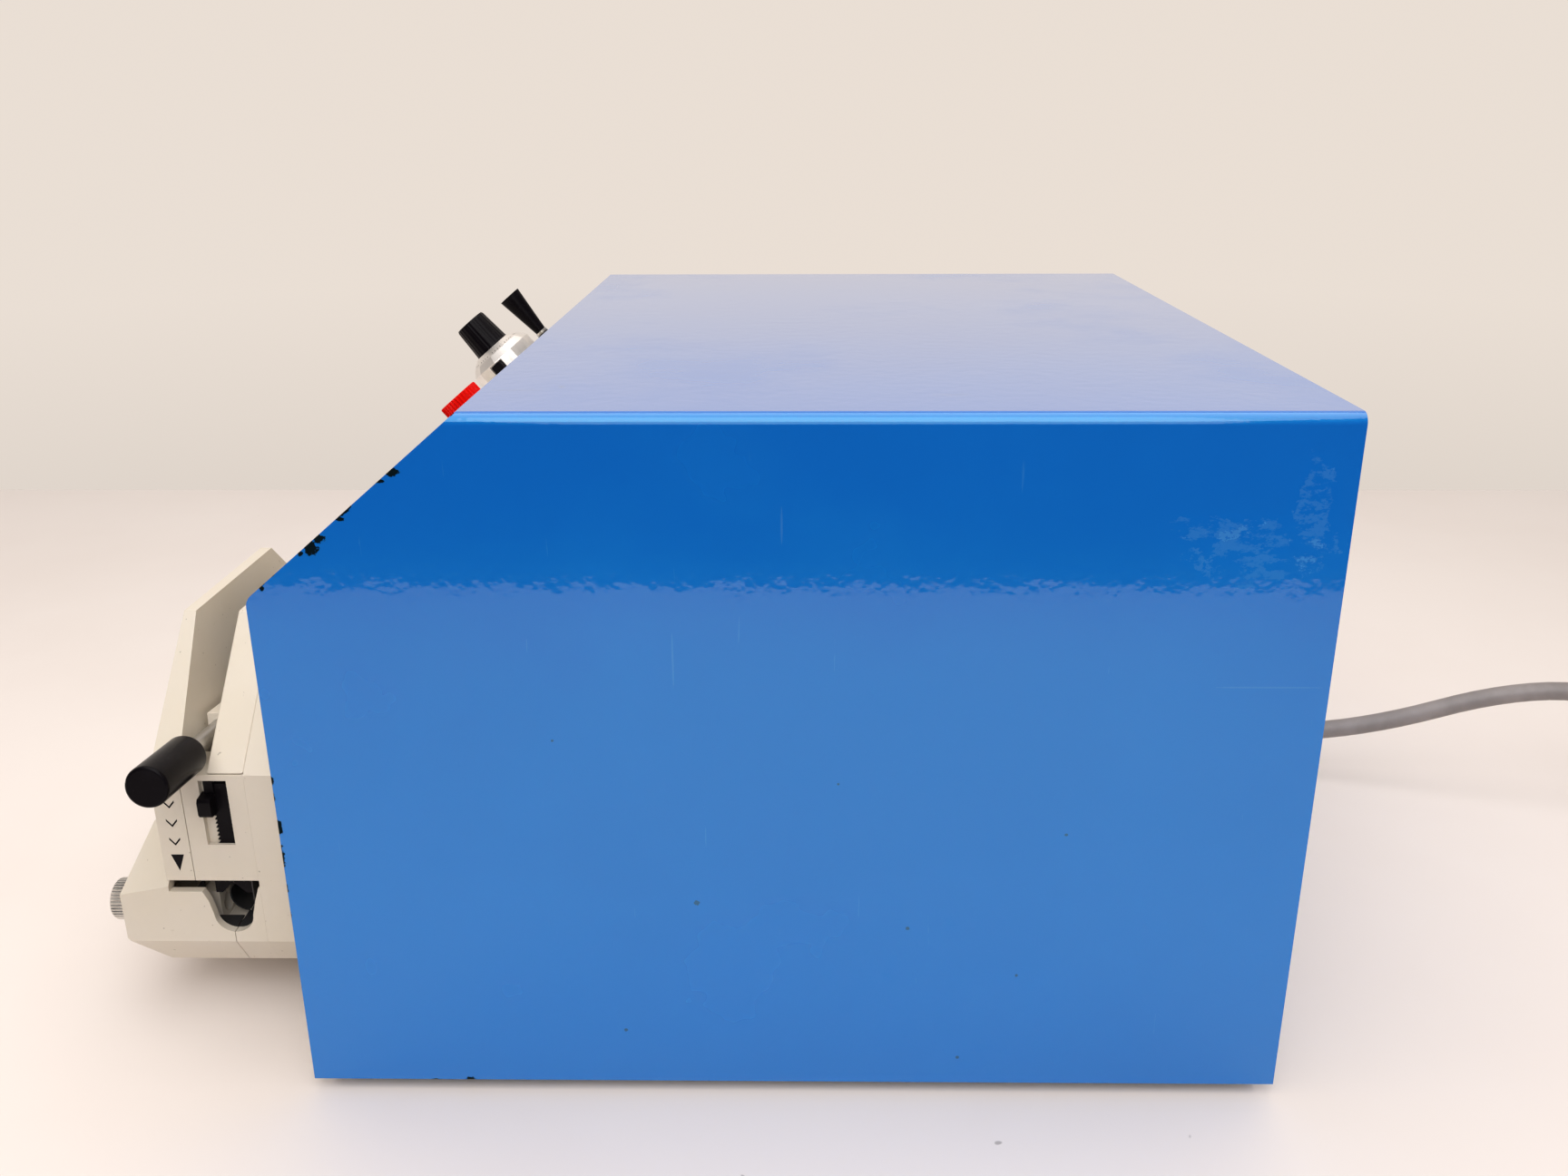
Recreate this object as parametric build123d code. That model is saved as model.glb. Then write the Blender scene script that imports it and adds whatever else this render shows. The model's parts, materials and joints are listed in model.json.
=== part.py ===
"""Bench-top peristaltic pump: sheet-metal drive case, moulded two-roller pump head and mains flex.

Everything is modelled in case coordinates: X to the right seen from the front, Y to the back,
Z up, zero at the middle of the case's footprint and at the case's lower edge. write() then moves
each piece so that the row's origin is the middle of the whole pump's footprint, on the table.
"""

from build123d import *
import os
from math import acos, atan2, cos, degrees, hypot, pi, radians, sin, tan

# Case: bent sheet, with a sloping control panel above the pump head.
CASE_X = 137.4  # half width
CASE_Y = 132.5  # half depth
CASE_TOP = 187.5
SHEET = 1.5
BEND = 3.0
FOOT_HEIGHT = 3.3
SLOPE_FOOT = (-132.5, 141.4)  # y, z of the slope's lower edge
SLOPE_HEAD = (-77.9, 187.5)  # y, z of its upper edge
SLOPE_ROUND = 4.0
RECESS = 3.5  # front and rear panels sit this far inside the cover's edges
PANEL_GAP = 0.1
PANEL_X = CASE_X - SHEET - PANEL_GAP
FRONT_FACE = -CASE_Y + RECESS  # y of the front panel's outer face
REAR_FACE = CASE_Y - RECESS

# Controls, in one row across the slope.
CONTROL_ROW = 39.8  # from the slope's lower edge, up the slope
LAMP_X = 30.0
DIAL_X = -37.0
TOGGLE_X = -106.0
LENS_FLUTES = 36

# Pump head, in front of the case.
HEAD_X = 38.25
HEAD_HALF = 66.75
HEAD_BACK = FRONT_FACE
HEAD_LOW = 12.0
HEAD_SHOULDER = 77.0  # where the side faces lean in
HEAD_TOP = 113.0
TOP_HALF = 30.3
CHAMFER_IN = 6.5
CHAMFER_UP = 10.3
BLOCK_FRONT = -154.7  # front face of the back block
TRACK_FRONT = -165.3
PIT_FLOOR = -141.0
DOOR_FRONT = -181.5
DOOR_BACK = -173.2
NOSE_FRONT = -196.2
SPLIT_Y = -164.0  # between the door's lower block and the tube shelf
WALL = 2.5
GAP = 0.1

# Rotor and roller track.
ROTOR_Z = 77.5
ROTOR_FRONT = -165.6
ROTOR_BACK = -143.0
FORK_Y = (-163.4, -146.2)  # outer faces of the roller arms' forks
FORK_PLATE = 1.6
ARM_PIVOT = (8.0, -13.0)  # beside the roller's radius, from the rotor's axis
TRACK_RADIUS = 33.0
PIT_RADIUS = 34.0  # behind the track
ROLLER_RADIUS = 7.0
ROLLER_AT = 23.0
CRANK_ANGLE = 5.5  # above the horizontal, handle to the right
CRANK_Y = -169.1
ROD_RADIUS = 2.5
KNOB_START = 68.0
KNOB_END = 92.2
KNOB_RADIUS = 5.9
RUNNING = 0.05  # radial clearance of every shaft that turns in a bore

# Tube clamps and tube ports at both sides of the head.
PORT_Y = -163.6
PORT_Z = 31.4
PORT_RADIUS = 5.7
CLAMP_LOW = 43.0
CLAMP_INNER = 90.0
RACK_SLOT = (-165.3, -159.8)
TOOTH_PITCH = 1.3
TOOTH_DEPTH = 0.8

# Guard door hinge and its thumb screw.
HINGE_X = -33.0
HINGE_Y = -168.6
HINGE_RADIUS = 4.0
HINGE_PIN_RADIUS = 1.5
SCREW_X = 91.0
SCREW_Z = 28.0
SCREW_RADIUS = 3.0
SCREW_HEAD_RADIUS = 6.3
SCREW_TIP = -173.0
SCREW_END = -205.0

# Drive train.
SHAFT_RADIUS = 5.0
GEAR_MODULE = 1.0
GEAR_TEETH = 60
PINION_TEETH = 15
GEAR_Y = (-112.0, -104.0)
PLATE_Y = (-98.0, -94.0)
MOTOR_RADIUS = 26.0
MOTOR_SHAFT_RADIUS = 3.0
CENTRE_DISTANCE = GEAR_MODULE * (GEAR_TEETH + PINION_TEETH) / 2 + 0.15
MOTOR_X = HEAD_X - CENTRE_DISTANCE

# Mains flex and what it comes out of.
CORD_RADIUS = 3.5
GLAND_X = -60.0
GLAND_Z = 20.0
GLAND_END = 158.0
FUSE_X = -98.0
FUSE_Z = 40.0
FUSE_END = 143.0
TABLE_Z = -FOOT_HEIGHT
COIL_AT = (-60.0, 385.0)
COIL_RADIUS = 38.5  # middle of the turns
COIL_HALF_WIDTH = 11.0
COIL_HEIGHT = 14.6
PLUG_X = -94.0  # where the plug's body starts; its pins point to -X
PLUG_Y = 437.5
PLUG_Z = TABLE_Z + 11.0
TAIL_LENGTH = 14.0

SHIFT = (0.0, -(SCREW_END + FUSE_END) / 2, FOOT_HEIGHT)


def block(x, y, z):
    """Box between (low, high) pairs."""
    middle = Pos((x[0] + x[1]) / 2, (y[0] + y[1]) / 2, (z[0] + z[1]) / 2)
    return middle * Box(x[1] - x[0], y[1] - y[0], z[1] - z[0])


def rod_x(x, y, z, radius):
    return Pos((x[0] + x[1]) / 2, y, z) * Rot(0, 90, 0) * Cylinder(radius, x[1] - x[0])


def rod_y(x, y, z, radius):
    return Pos(x, (y[0] + y[1]) / 2, z) * Rot(90, 0, 0) * Cylinder(radius, y[1] - y[0])


def rod_z(x, y, z, radius):
    return Pos(x, y, (z[0] + z[1]) / 2) * Cylinder(radius, z[1] - z[0])


def prism_y(points, y):
    """Solid with an outline given as (x, z) points, between two values of y."""
    face = make_face(Plane.XZ * Polyline(*points, close=True))
    return Pos(0, y[0], 0) * extrude(face, amount=y[1] - y[0], dir=(0, 1, 0))


def prism_x(points, x):
    """Solid with an outline given as (y, z) points, between two values of x."""
    face = make_face(Plane.YZ * Polyline(*points, close=True))
    return Pos(x[0], 0, 0) * extrude(face, amount=x[1] - x[0], dir=(1, 0, 0))


def shave(shape, point, normal):
    """Cut away everything on the side of a plane that its normal points to."""
    reach = 400
    frame = Plane(origin=point, z_dir=normal).location
    return shape - frame * Pos(0, 0, reach / 2) * Box(2 * reach, 2 * reach, reach)


def mirrored(shape):
    """The same piece on the other side of the pump head."""
    return mirror(shape, about=Plane.YZ.offset(HEAD_X))


def write(name, *pieces):
    """Save one node: one piece, or a group of identical ones."""
    moved = [Pos(*SHIFT) * piece for piece in pieces]
    solids = [solid for piece in moved for solid in piece.solids()]
    shape = solids[0] if len(solids) == 1 else Compound(children=solids)
    export_step(shape, f"parts/{name}.step")


# ---------------------------------------------------------------- case

SLOPE_LENGTH = hypot(SLOPE_HEAD[0] - SLOPE_FOOT[0], SLOPE_HEAD[1] - SLOPE_FOOT[1])
SLOPE_UP = (
    (SLOPE_HEAD[0] - SLOPE_FOOT[0]) / SLOPE_LENGTH,
    (SLOPE_HEAD[1] - SLOPE_FOOT[1]) / SLOPE_LENGTH,
)
SLOPE_OUT = (-SLOPE_UP[1], SLOPE_UP[0])


def on_panel(x):
    """Location on the sloping panel's face: local Z points out of it, local Y up the slope."""
    y = SLOPE_FOOT[0] + SLOPE_UP[0] * CONTROL_ROW - SLOPE_OUT[0] * RECESS
    z = SLOPE_FOOT[1] + SLOPE_UP[1] * CONTROL_ROW - SLOPE_OUT[1] * RECESS
    return Plane(origin=(x, y, z), x_dir=(1, 0, 0), z_dir=(0, *SLOPE_OUT)).location


def panel_line(depth, top):
    """Front panel's bend points, (y, z), at a depth inside the cover's edge."""
    front = -CASE_Y + depth
    foot = (SLOPE_FOOT[0] - SLOPE_OUT[0] * depth, SLOPE_FOOT[1] - SLOPE_OUT[1] * depth)
    low = foot[1] + (front - foot[0]) / SLOPE_UP[0] * SLOPE_UP[1]
    back = foot[0] + (top - foot[1]) / SLOPE_UP[1] * SLOPE_UP[0]
    return (front, low), (back, top)


def side_outline():
    """Cover's outline seen from the side, with the slope's lower corner rounded."""
    points = [(-CASE_Y, 0), SLOPE_FOOT, SLOPE_HEAD, (CASE_Y, CASE_TOP), (CASE_Y, 0)]
    face = make_face(Plane.YZ * Polyline(*points, close=True))
    foot = face.vertices().sort_by_distance((0, *SLOPE_FOOT))[0]
    return fillet(foot, SLOPE_ROUND)


def cover():
    """Sides and top bent from one sheet, with a flange down each rear edge for the screws."""
    width = 2 * CASE_X
    outer = Pos(0, CASE_TOP / 2) * Rectangle(width, CASE_TOP)
    outer = fillet(outer.vertices().group_by(Axis.Y)[-1], BEND)
    inner = Pos(0, (CASE_TOP - SHEET) / 2 - 5) * Rectangle(width - 2 * SHEET, CASE_TOP - SHEET + 10)
    section = Plane.XZ * (outer - inner)
    sheet = Pos(0, -CASE_Y, 0) * extrude(section, amount=2 * CASE_Y, dir=(0, 1, 0))
    keep = Pos(-CASE_X - 5, 0, 0) * extrude(side_outline(), amount=width + 10, dir=(1, 0, 0))
    sheet = sheet & keep
    for side in (-1, 1):
        inside = CASE_X - SHEET
        x = sorted((side * (inside - 14), side * inside))
        sheet += block(x, (REAR_FACE - 2 * SHEET, REAR_FACE - SHEET), (8, 178))
    for x, z in rear_screw_places():
        sheet -= rod_y(x, (120, 130), z, 1.7)
    return sheet


def rear_screw_places():
    return [(side * 128.0, z) for side in (-1, 1) for z in (20.0, 166.0)]


def front_panel():
    """Vertical front, sloping control panel and a lip under the cover's top, from one sheet."""
    top = CASE_TOP - SHEET - PANEL_GAP
    low, high = panel_line(RECESS, top)
    low_in, high_in = panel_line(RECESS + SHEET, top - SHEET)
    lip = 14
    outline = [(low[0], 0), low, high, (high[0] + lip, top), (high[0] + lip, top - SHEET)]
    outline += [high_in, low_in, (low_in[0], 2 * SHEET), (low_in[0] + lip, 2 * SHEET)]
    outline += [(low_in[0] + lip, SHEET), (low_in[0], SHEET), (low_in[0], 0)]
    panel = prism_x(outline, (-PANEL_X, PANEL_X))
    panel -= rod_y(HEAD_X, (-135, -120), ROTOR_Z, 12)
    for x, z in head_screw_places():
        panel -= rod_y(x, (-135, -120), z, 2.2)
    for x, radius in ((LAMP_X, 5.05), (DIAL_X, 4.8), (TOGGLE_X, 6.05)):
        panel -= on_panel(x) * Cylinder(radius, 12)
    for x in (-100, 100):
        panel -= rod_z(x, low_in[0] + lip / 2, (0, 5), 1.7)
    return panel


def rear_panel():
    """Flat plate with the cord's gland hole, the fuse hole and two banks of vent slots."""
    top = CASE_TOP - SHEET - PANEL_GAP
    panel = block((-PANEL_X, PANEL_X), (REAR_FACE - SHEET, REAR_FACE), (0, top))
    panel -= rod_y(GLAND_X, (120, 135), GLAND_Z, 6.05)
    panel -= rod_y(FUSE_X, (120, 135), FUSE_Z, 6.05)
    for x, z in rear_screw_places():
        panel -= rod_y(x, (120, 135), z, 1.7)
    for row in range(7):
        z = 96 + 9 * row
        panel -= block((20, 90), (120, 135), (z, z + 3))
    return panel


def base_tray():
    """Bottom sheet with two side flanges and a group of vent slots."""
    y = (FRONT_FACE + SHEET + PANEL_GAP, REAR_FACE - SHEET - PANEL_GAP)
    tray = block((-PANEL_X, PANEL_X), y, (0, SHEET))
    for side in (-1, 1):
        x = sorted((side * (PANEL_X - SHEET), side * PANEL_X))
        tray += block(x, (y[0] + 20, y[1] - 12), (SHEET, 14))
    for x, place_y in foot_places():
        tray -= rod_z(x, place_y, (-1, 3), 2.05)
    for x in (-100, 100):
        tray -= rod_z(x, y[0] + 7 - PANEL_GAP, (-1, 3), 1.7)
    for row in range(5):
        tray -= block((-40 + 16 * row, -34 + 16 * row), (-20, 30), (-1, 3))
    return tray


def foot_places():
    return [(x, y) for x in (-116.0, 116.0) for y in (-106.0, 106.0)]


def rubber_foot(x, y):
    foot = Pos(x, y, -FOOT_HEIGHT / 2) * Cone(7.2, 8.5, FOOT_HEIGHT)
    foot -= rod_z(x, y, (-FOOT_HEIGHT, -1.4), 4.2)
    return foot - rod_z(x, y, (-2, 1), 2.05)


def foot_screw(x, y):
    screw = rod_z(x, y, (-2.8, -1.4), 3.8)
    return screw + rod_z(x, y, (-1.4, 5), 2.0)


def pan_screw_y(x, y, z, length):
    """Pan-head screw with its shank going towards -Y, with a cross slot."""
    head = rod_y(x, (y, y + 2.2), z, 3.1)
    head -= block((x - 2, x + 2), (y + 1.2, y + 3), (z - 0.4, z + 0.4))
    head -= block((x - 0.4, x + 0.4), (y + 1.2, y + 3), (z - 2, z + 2))
    return head + rod_y(x, (y - length, y), z, 1.65)


def case_screws():
    """Four screws through the rear panel and two up through the tray into the front panel."""
    screws = [pan_screw_y(x, REAR_FACE, z, 6) for x, z in rear_screw_places()]
    y = FRONT_FACE + SHEET + 7
    for x in (-100, 100):
        screws.append(rod_z(x, y, (-2.0, 0), 3.1) + rod_z(x, y, (0, 6), 1.65))
    return screws


# ---------------------------------------------------------------- controls

def lamp_holder():
    """Threaded barrel behind the panel, with its nut and two tags."""
    place = on_panel(LAMP_X)
    holder = place * Pos(0, 0, -12) * Cylinder(5.0, 25)
    nut = place * Pos(0, 0, -SHEET - 3.05) * extrude(RegularPolygon(7.5, 6), amount=3)
    tags = [place * Pos(x, 0, -28) * Box(0.8, 2.8, 8) for x in (-2.5, 2.5)]
    return holder + nut + tags[0] + tags[1]


def lamp_lens():
    """Jewel lens with a plain foot, a fluted side and a flat top."""
    lens = Pos(0, 0, 0.55) * Cylinder(6.6, 1.1)
    for flute in range(LENS_FLUTES):
        lens += Rot(0, 0, 360 * flute / LENS_FLUTES) * Pos(6.35, 0, 3.9) * Cylinder(0.45, 6.2)
    lens += Pos(0, 0, 3.9) * Cylinder(6.4, 6.2)
    lens -= Cylinder(5.05, 1.1)
    return on_panel(LAMP_X) * lens


def dial_body():
    """Satin turns-counting dial: stepped, chamfered ring that is keyed to the panel."""
    outline = [(4.8, 0), (11.8, 0), (12.3, 0.5), (12.3, 7.5), (10.2, 9.9), (7.2, 12.0)]
    outline += [(6.8, 12.0), (6.8, 10.8), (3.4, 10.8), (3.4, 1.3), (4.8, 1.3)]
    face = make_face(Plane.XZ * Polyline(*outline, close=True))
    ring = revolve(face, Axis.Z)
    window = block((9.6, 13), (-2.7, 2.7), (2.6, 7.1))
    return on_panel(DIAL_X) * (ring - window)


def dial_knob():
    """Tapered black knob, with its flange turning in the dial's recess and a bore for the shaft."""
    knob = Pos(0, 0, 11.5) * Cylinder(6.6, 1.2)
    knob += Pos(0, 0, 17.85) * Cone(6.55, 5.6, 11.5)
    knob -= Pos(0, 0, 13.7) * Cylinder(3.17, 6)
    return on_panel(DIAL_X) * knob


def pot_shaft():
    shaft = Pos(0, 0, -0.1) * Cylinder(3.17, 33.6)
    return on_panel(DIAL_X) * shaft


def potentiometer():
    """Ten-turn wirewound potentiometer with its threaded bush and nut."""
    body = Pos(0, 0, -22.2) * Cylinder(11.1, 40) + Pos(0, 0, -1.0) * Cylinder(4.7, 4.0)
    body += Pos(0, 0, 0.55) * Cylinder(4.7, 1.0) - Pos(0, 0, 0.5) * Cylinder(3.3, 4)
    body -= Pos(0, 0, 0) * Cylinder(3.17 + RUNNING, 36)
    body = body - Pos(0, 0, 3.0) * Box(30, 30, 5.9)
    for x in (-5, 0, 5):
        body += Pos(x, 12.6, -34) * Box(1.2, 5, 0.8)
    return on_panel(DIAL_X) * body


def dial_brake():
    """Small black lever that locks the dial, held in the window at the dial's side."""
    lever = block((9.9, 13.2), (-1.9, 1.9), (2.9, 6.8))
    return on_panel(DIAL_X) * lever


def switch_body():
    """Toggle switch: moulded body, threaded bush and solder tags."""
    body = Pos(0, 0, -SHEET - 10.1) * Box(17, 28, 20) + Pos(0, 0, 0.9) * Cylinder(6.0, 5.0)
    body -= Pos(0, 0, 3.5) * Cylinder(4.8, 20)
    body -= Pos(0, 0, -4) * Sphere(5.6)
    for x in (-4, 4):
        for y in (-9, 0, 9):
            body += Pos(x, y, -SHEET - 23) * Box(1, 4, 8)
    return on_panel(TOGGLE_X) * body


def switch_nut():
    washer = Pos(0, 0, 0.35) * Cylinder(8.4, 0.7)
    nut = Pos(0, 0, 0.7) * extrude(RegularPolygon(7.9, 6), amount=2.2)
    return on_panel(TOGGLE_X) * (washer + nut - Cylinder(6.0, 20))


def toggle_lever():
    """Flared bat lever on a ball that rocks in the bush, on a short cross pin."""
    low = Pos(0, 0, 5.4) * Ellipse(2.3, 2.2)
    high = Pos(0, 0, 23.6) * Ellipse(3.2, 4.6)
    bat = loft(Sketch() + [low, high])
    stem = Pos(0, 0, 1.2) * Cylinder(2.0, 8.5)
    ball = Pos(0, 0, -3.0) * Sphere(3.4)
    pin = Pos(0, 0, -3.0) * Rot(0, 90, 0) * Cylinder(1.0, 8.8)
    return on_panel(TOGGLE_X) * (bat + stem + ball + pin)


# ---------------------------------------------------------------- pump head

def head_outline():
    """Front view of the head: leaning shoulders above, chamfers below."""
    right = HEAD_X + HEAD_HALF
    left = HEAD_X - HEAD_HALF
    low = HEAD_LOW + CHAMFER_UP
    points = [(right - CHAMFER_IN, HEAD_LOW), (right, low), (right, HEAD_SHOULDER)]
    points += [(HEAD_X + TOP_HALF, HEAD_TOP), (HEAD_X - TOP_HALF, HEAD_TOP)]
    return points + [(left, HEAD_SHOULDER), (left, low), (left + CHAMFER_IN, HEAD_LOW)]


def head_screw_places():
    return [(HEAD_X + dx, z) for dx in (-50.0, 50.0) for z in (30.0, 70.0)]


def head_screws():
    return [pan_screw_y(x, FRONT_FACE + SHEET, z, 12) for x, z in head_screw_places()]


def head_back_block():
    """Main moulding of the head, with the rotor pit and the front bearing's seat."""
    body = prism_y(head_outline(), (BLOCK_FRONT, HEAD_BACK))
    body -= rod_y(HEAD_X, (BLOCK_FRONT, PIT_FLOOR), ROTOR_Z, PIT_RADIUS)
    pit_x = (HEAD_X - PIT_RADIUS, HEAD_X + PIT_RADIUS)
    body -= block(pit_x, (BLOCK_FRONT - 1, PIT_FLOOR), (24, ROTOR_Z))
    body -= rod_y(HEAD_X, (HEAD_BACK - 8, HEAD_BACK + 1), ROTOR_Z, 11)
    body -= rod_y(HEAD_X, (PIT_FLOOR - 1, HEAD_BACK), ROTOR_Z, 7)
    for x, z in head_screw_places():
        body -= rod_y(x, (HEAD_BACK - 14, HEAD_BACK + 1), z, 2.0)
    return body


def track_block():
    """Roller track over the top of the rotor, with a leg down each side of it."""
    body = prism_y(head_outline(), (TRACK_FRONT, BLOCK_FRONT))
    body -= rod_y(HEAD_X, (TRACK_FRONT - 1, BLOCK_FRONT + 1), ROTOR_Z, TRACK_RADIUS)
    low = HEAD_SHOULDER + 0.2
    y = (TRACK_FRONT - 1, BLOCK_FRONT + 1)
    body -= block((HEAD_X - TRACK_RADIUS, HEAD_X + TRACK_RADIUS), y, (0, ROTOR_Z))
    body -= block((-60, 140), y, (0, 48))
    for side in (-1, 1):
        inner = HEAD_X + side * (CLAMP_INNER - HEAD_X - 0.2)
        outer = HEAD_X + side * 90
        body -= block(sorted((inner, outer)), y, (0, low))
    return body


def port_cut(x):
    """The tube's passage: round below, flaring to the top."""
    rise = CLAMP_LOW + 1
    flare = [(PORT_Y - PORT_RADIUS, PORT_Z), (PORT_Y + PORT_RADIUS, PORT_Z)]
    flare += [(PORT_Y + PORT_RADIUS + 1.2, 36), (BLOCK_FRONT + 0.6, rise), (PORT_Y - 10.5, rise)]
    flare += [(PORT_Y - 8.2, 39.2), (PORT_Y - PORT_RADIUS - 1.0, 36)]
    return rod_x(x, PORT_Y, PORT_Z, PORT_RADIUS) + prism_x(flare, x)


def tube_shelf():
    """Lower front of the fixed head: the tube lies on it, and its lug takes the thumb screw."""
    y = (SPLIT_Y + GAP, BLOCK_FRONT)
    body = prism_y(head_outline(), y) - block((-60, 140), (-200, -100), (40.6, 130))
    body -= block((-12, 88), (-170, BLOCK_FRONT + 1), (24, 60))
    body -= port_cut((-40, 120))
    for jaw in (jaw_room(), mirrored(jaw_room())):
        body -= jaw
    lug = block((84, 96.5), (-176, SPLIT_Y + 1), (15.5, 23.5)) + block((84, 96.5), (-176, -171), (15.5, 34))
    lug -= rod_y(SCREW_X, (-180, -168), SCREW_Z, SCREW_RADIUS + 0.5)
    return body + lug


def jaw_room():
    return block((94.0, 102.6), (-175, -157.8), (25.7, 60))


def clamp_housing():
    """Fixed guide of the tube clamp, with a window in its side for the thumb tab."""
    right = HEAD_X + HEAD_HALF
    body = block((CLAMP_INNER, right), (DOOR_BACK + 0.2, BLOCK_FRONT), (CLAMP_LOW, HEAD_SHOULDER))
    body -= block((95, 103.3), (-164.4, -160.3), (CLAMP_LOW - 1, 76))
    body -= block((103.2, right - 1.0), RACK_SLOT, (CLAMP_LOW - 1, 76))
    body -= block((103.2, right + 1), (-167.8, RACK_SLOT[1]), (54.8, 75.3))
    return body


def rack():
    """Flat strip with saw teeth down both edges."""
    low = 44.0
    front, back = RACK_SLOT[0] + GAP, RACK_SLOT[1] - GAP
    rising = []
    falling = []
    for tooth in range(int((75 - low) / TOOTH_PITCH)):
        z = low + tooth * TOOTH_PITCH
        rising += [(front, z + 0.2), (front + TOOTH_DEPTH, z + TOOTH_PITCH)]
        falling += [(back, z + 0.2), (back - TOOTH_DEPTH, z + TOOTH_PITCH)]
    return prism_x([(front, low)] + rising + falling[::-1] + [(back, low)], (103.3, 103.9))


def clamp_slider():
    """Black slide: toothed rack, thumb tab in the window and a notched jaw below."""
    body = rack() + block((95.1, 103.3), (-164.3, -160.4), (42, 75))
    tab = [(103.4, 64.7), (107.4, 65.0), (108.0, 66.0), (108.0, 69.8), (107.4, 70.7), (103.4, 71.2)]
    body += prism_y(tab, (-167.7, -163.9)) + block((103.4, 104.6), (-166.6, -163.9), (70, 74.9))
    jaw = block((94.4, 102.2), (-169.0, -158.2), (37.3, 42.8))
    notch = [(-167.2, 37.2), (-160.0, 37.2), (PORT_Y, 40.8)]
    jaw -= prism_x(notch, (90, 110))
    return body + jaw


def hinge_bracket():
    """Strap on the head's left side with the two fixed hinge knuckles."""
    left = HEAD_X - HEAD_HALF
    bracket = block((left - 2.5, left), (-152, -140), (HEAD_LOW + 0.5, 54.2))
    for z in ((12.5, 18.0), (49.2, 54.2)):
        arm = block((left - 4.5, left), (HINGE_Y, -140), z)
        bracket += arm + rod_z(HINGE_X, HINGE_Y, z, HINGE_RADIUS)
    for z in ((12.4, 18.1), (49.1, 54.3)):
        bracket -= rod_z(HINGE_X, HINGE_Y, z, HINGE_PIN_RADIUS)
    return bracket


def hinge_pins():
    return [rod_z(HINGE_X, HINGE_Y, z, HINGE_PIN_RADIUS) for z in ((12.5, 24.0), (44.0, 54.2))]


def door_plate():
    """Guard in front of the rotor: leaning sides, flat behind, thinner towards the top."""
    plate = prism_y(head_outline(), (DOOR_FRONT, DOOR_BACK))
    plate -= block((-60, 140), (-200, -160), (0, CLAMP_LOW))
    lean = atan2(4.7, HEAD_TOP - HEAD_SHOULDER)
    return shave(plate, (HEAD_X, DOOR_BACK, HEAD_SHOULDER), (0, cos(lean), sin(lean)))


def nose_shape(inset):
    """The door's thick lower part and sloping nose, drawn in from its true faces by inset."""
    right = HEAD_X + HEAD_HALF - inset
    left = HEAD_X - HEAD_HALF + inset
    front = NOSE_FRONT + inset
    low = HEAD_LOW + inset
    shape = block((left, right), (front, SPLIT_Y - GAP + inset), (low, 57 - inset))
    for side in (-1, 1):
        corner = (HEAD_X + side * (HEAD_HALF - inset), 0, HEAD_LOW + CHAMFER_UP + inset * 0.5)
        shape = shave(shape, corner, (side * CHAMFER_UP, 0, -CHAMFER_IN))
        shoulder = (HEAD_X + side * (HEAD_HALF - inset), NOSE_FRONT, 38.0 - inset)
        shape = shave(shape, shoulder, (side * 15.0, -2.9, 15.0))
    shape = shave(shape, (0, front, 23.3 + inset * 0.4), (0, -11.3, -8.7))
    shape = shave(shape, (0, front, 38.0), (0, -15.0, 5.6))
    shape = shave(shape, (0, -190.6 + inset, 54.0 - inset), (0, -2.0, 9.0))
    return shape


def guard_door():
    """Hinged guard: flat plate over a hollow nose, with two hinge knuckles."""
    nose = nose_shape(0) - nose_shape(WALL)
    behind = (DOOR_FRONT, -150)
    nose -= block((-60, 140), behind, (39.2, 70))
    nose -= block((-26, 102.5), (DOOR_FRONT, -160), (30, 45))
    nose -= port_cut((-40, 120))
    nose -= rod_y(SCREW_X, (-200, -190), SCREW_Z, SCREW_RADIUS + 0.2)
    door = door_plate() + nose
    for z, y in (((18.2, 24.0), -166.5), ((44.0, 49.0), -174.0)):
        door += block((HINGE_X, -25.6), (-180, y), z) - block((-28.4, 0), (-179.9, -160), z)
        door += block((HINGE_X, -28.5), (-180, HINGE_Y), z) + rod_z(HINGE_X, HINGE_Y, z, HINGE_RADIUS)
    for z in ((18.1, 24.1), (43.9, 49.1)):
        door -= rod_z(HINGE_X, HINGE_Y, z, HINGE_PIN_RADIUS + RUNNING)
    return door


def thumb_screw():
    """Captive screw with a knurled head and a rounded end."""
    head = rod_y(SCREW_X, (SCREW_END + 1.5, NOSE_FRONT - 0.2), SCREW_Z, SCREW_HEAD_RADIUS)
    crown = Pos(SCREW_X, SCREW_END + 0.75, SCREW_Z) * Rot(90, 0, 0) * Cone(SCREW_HEAD_RADIUS, 5.2, 1.5)
    shank = rod_y(SCREW_X, (NOSE_FRONT - 0.2, SCREW_TIP), SCREW_Z, SCREW_RADIUS)
    return head + crown + shank


def screw_clip():
    ring = rod_y(SCREW_X, (-190.0, -189.0), SCREW_Z, 4.7)
    return ring - rod_y(SCREW_X, (-191.0, -188.0), SCREW_Z, SCREW_RADIUS + RUNNING)


# ---------------------------------------------------------------- rotor and drive

def on_rotor(shape, angle):
    """Turn a piece drawn about the Y axis, reaching along +X, to its place on the rotor."""
    return Pos(HEAD_X, 0, ROTOR_Z) * Rot(0, -angle, 0) * shape


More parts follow.
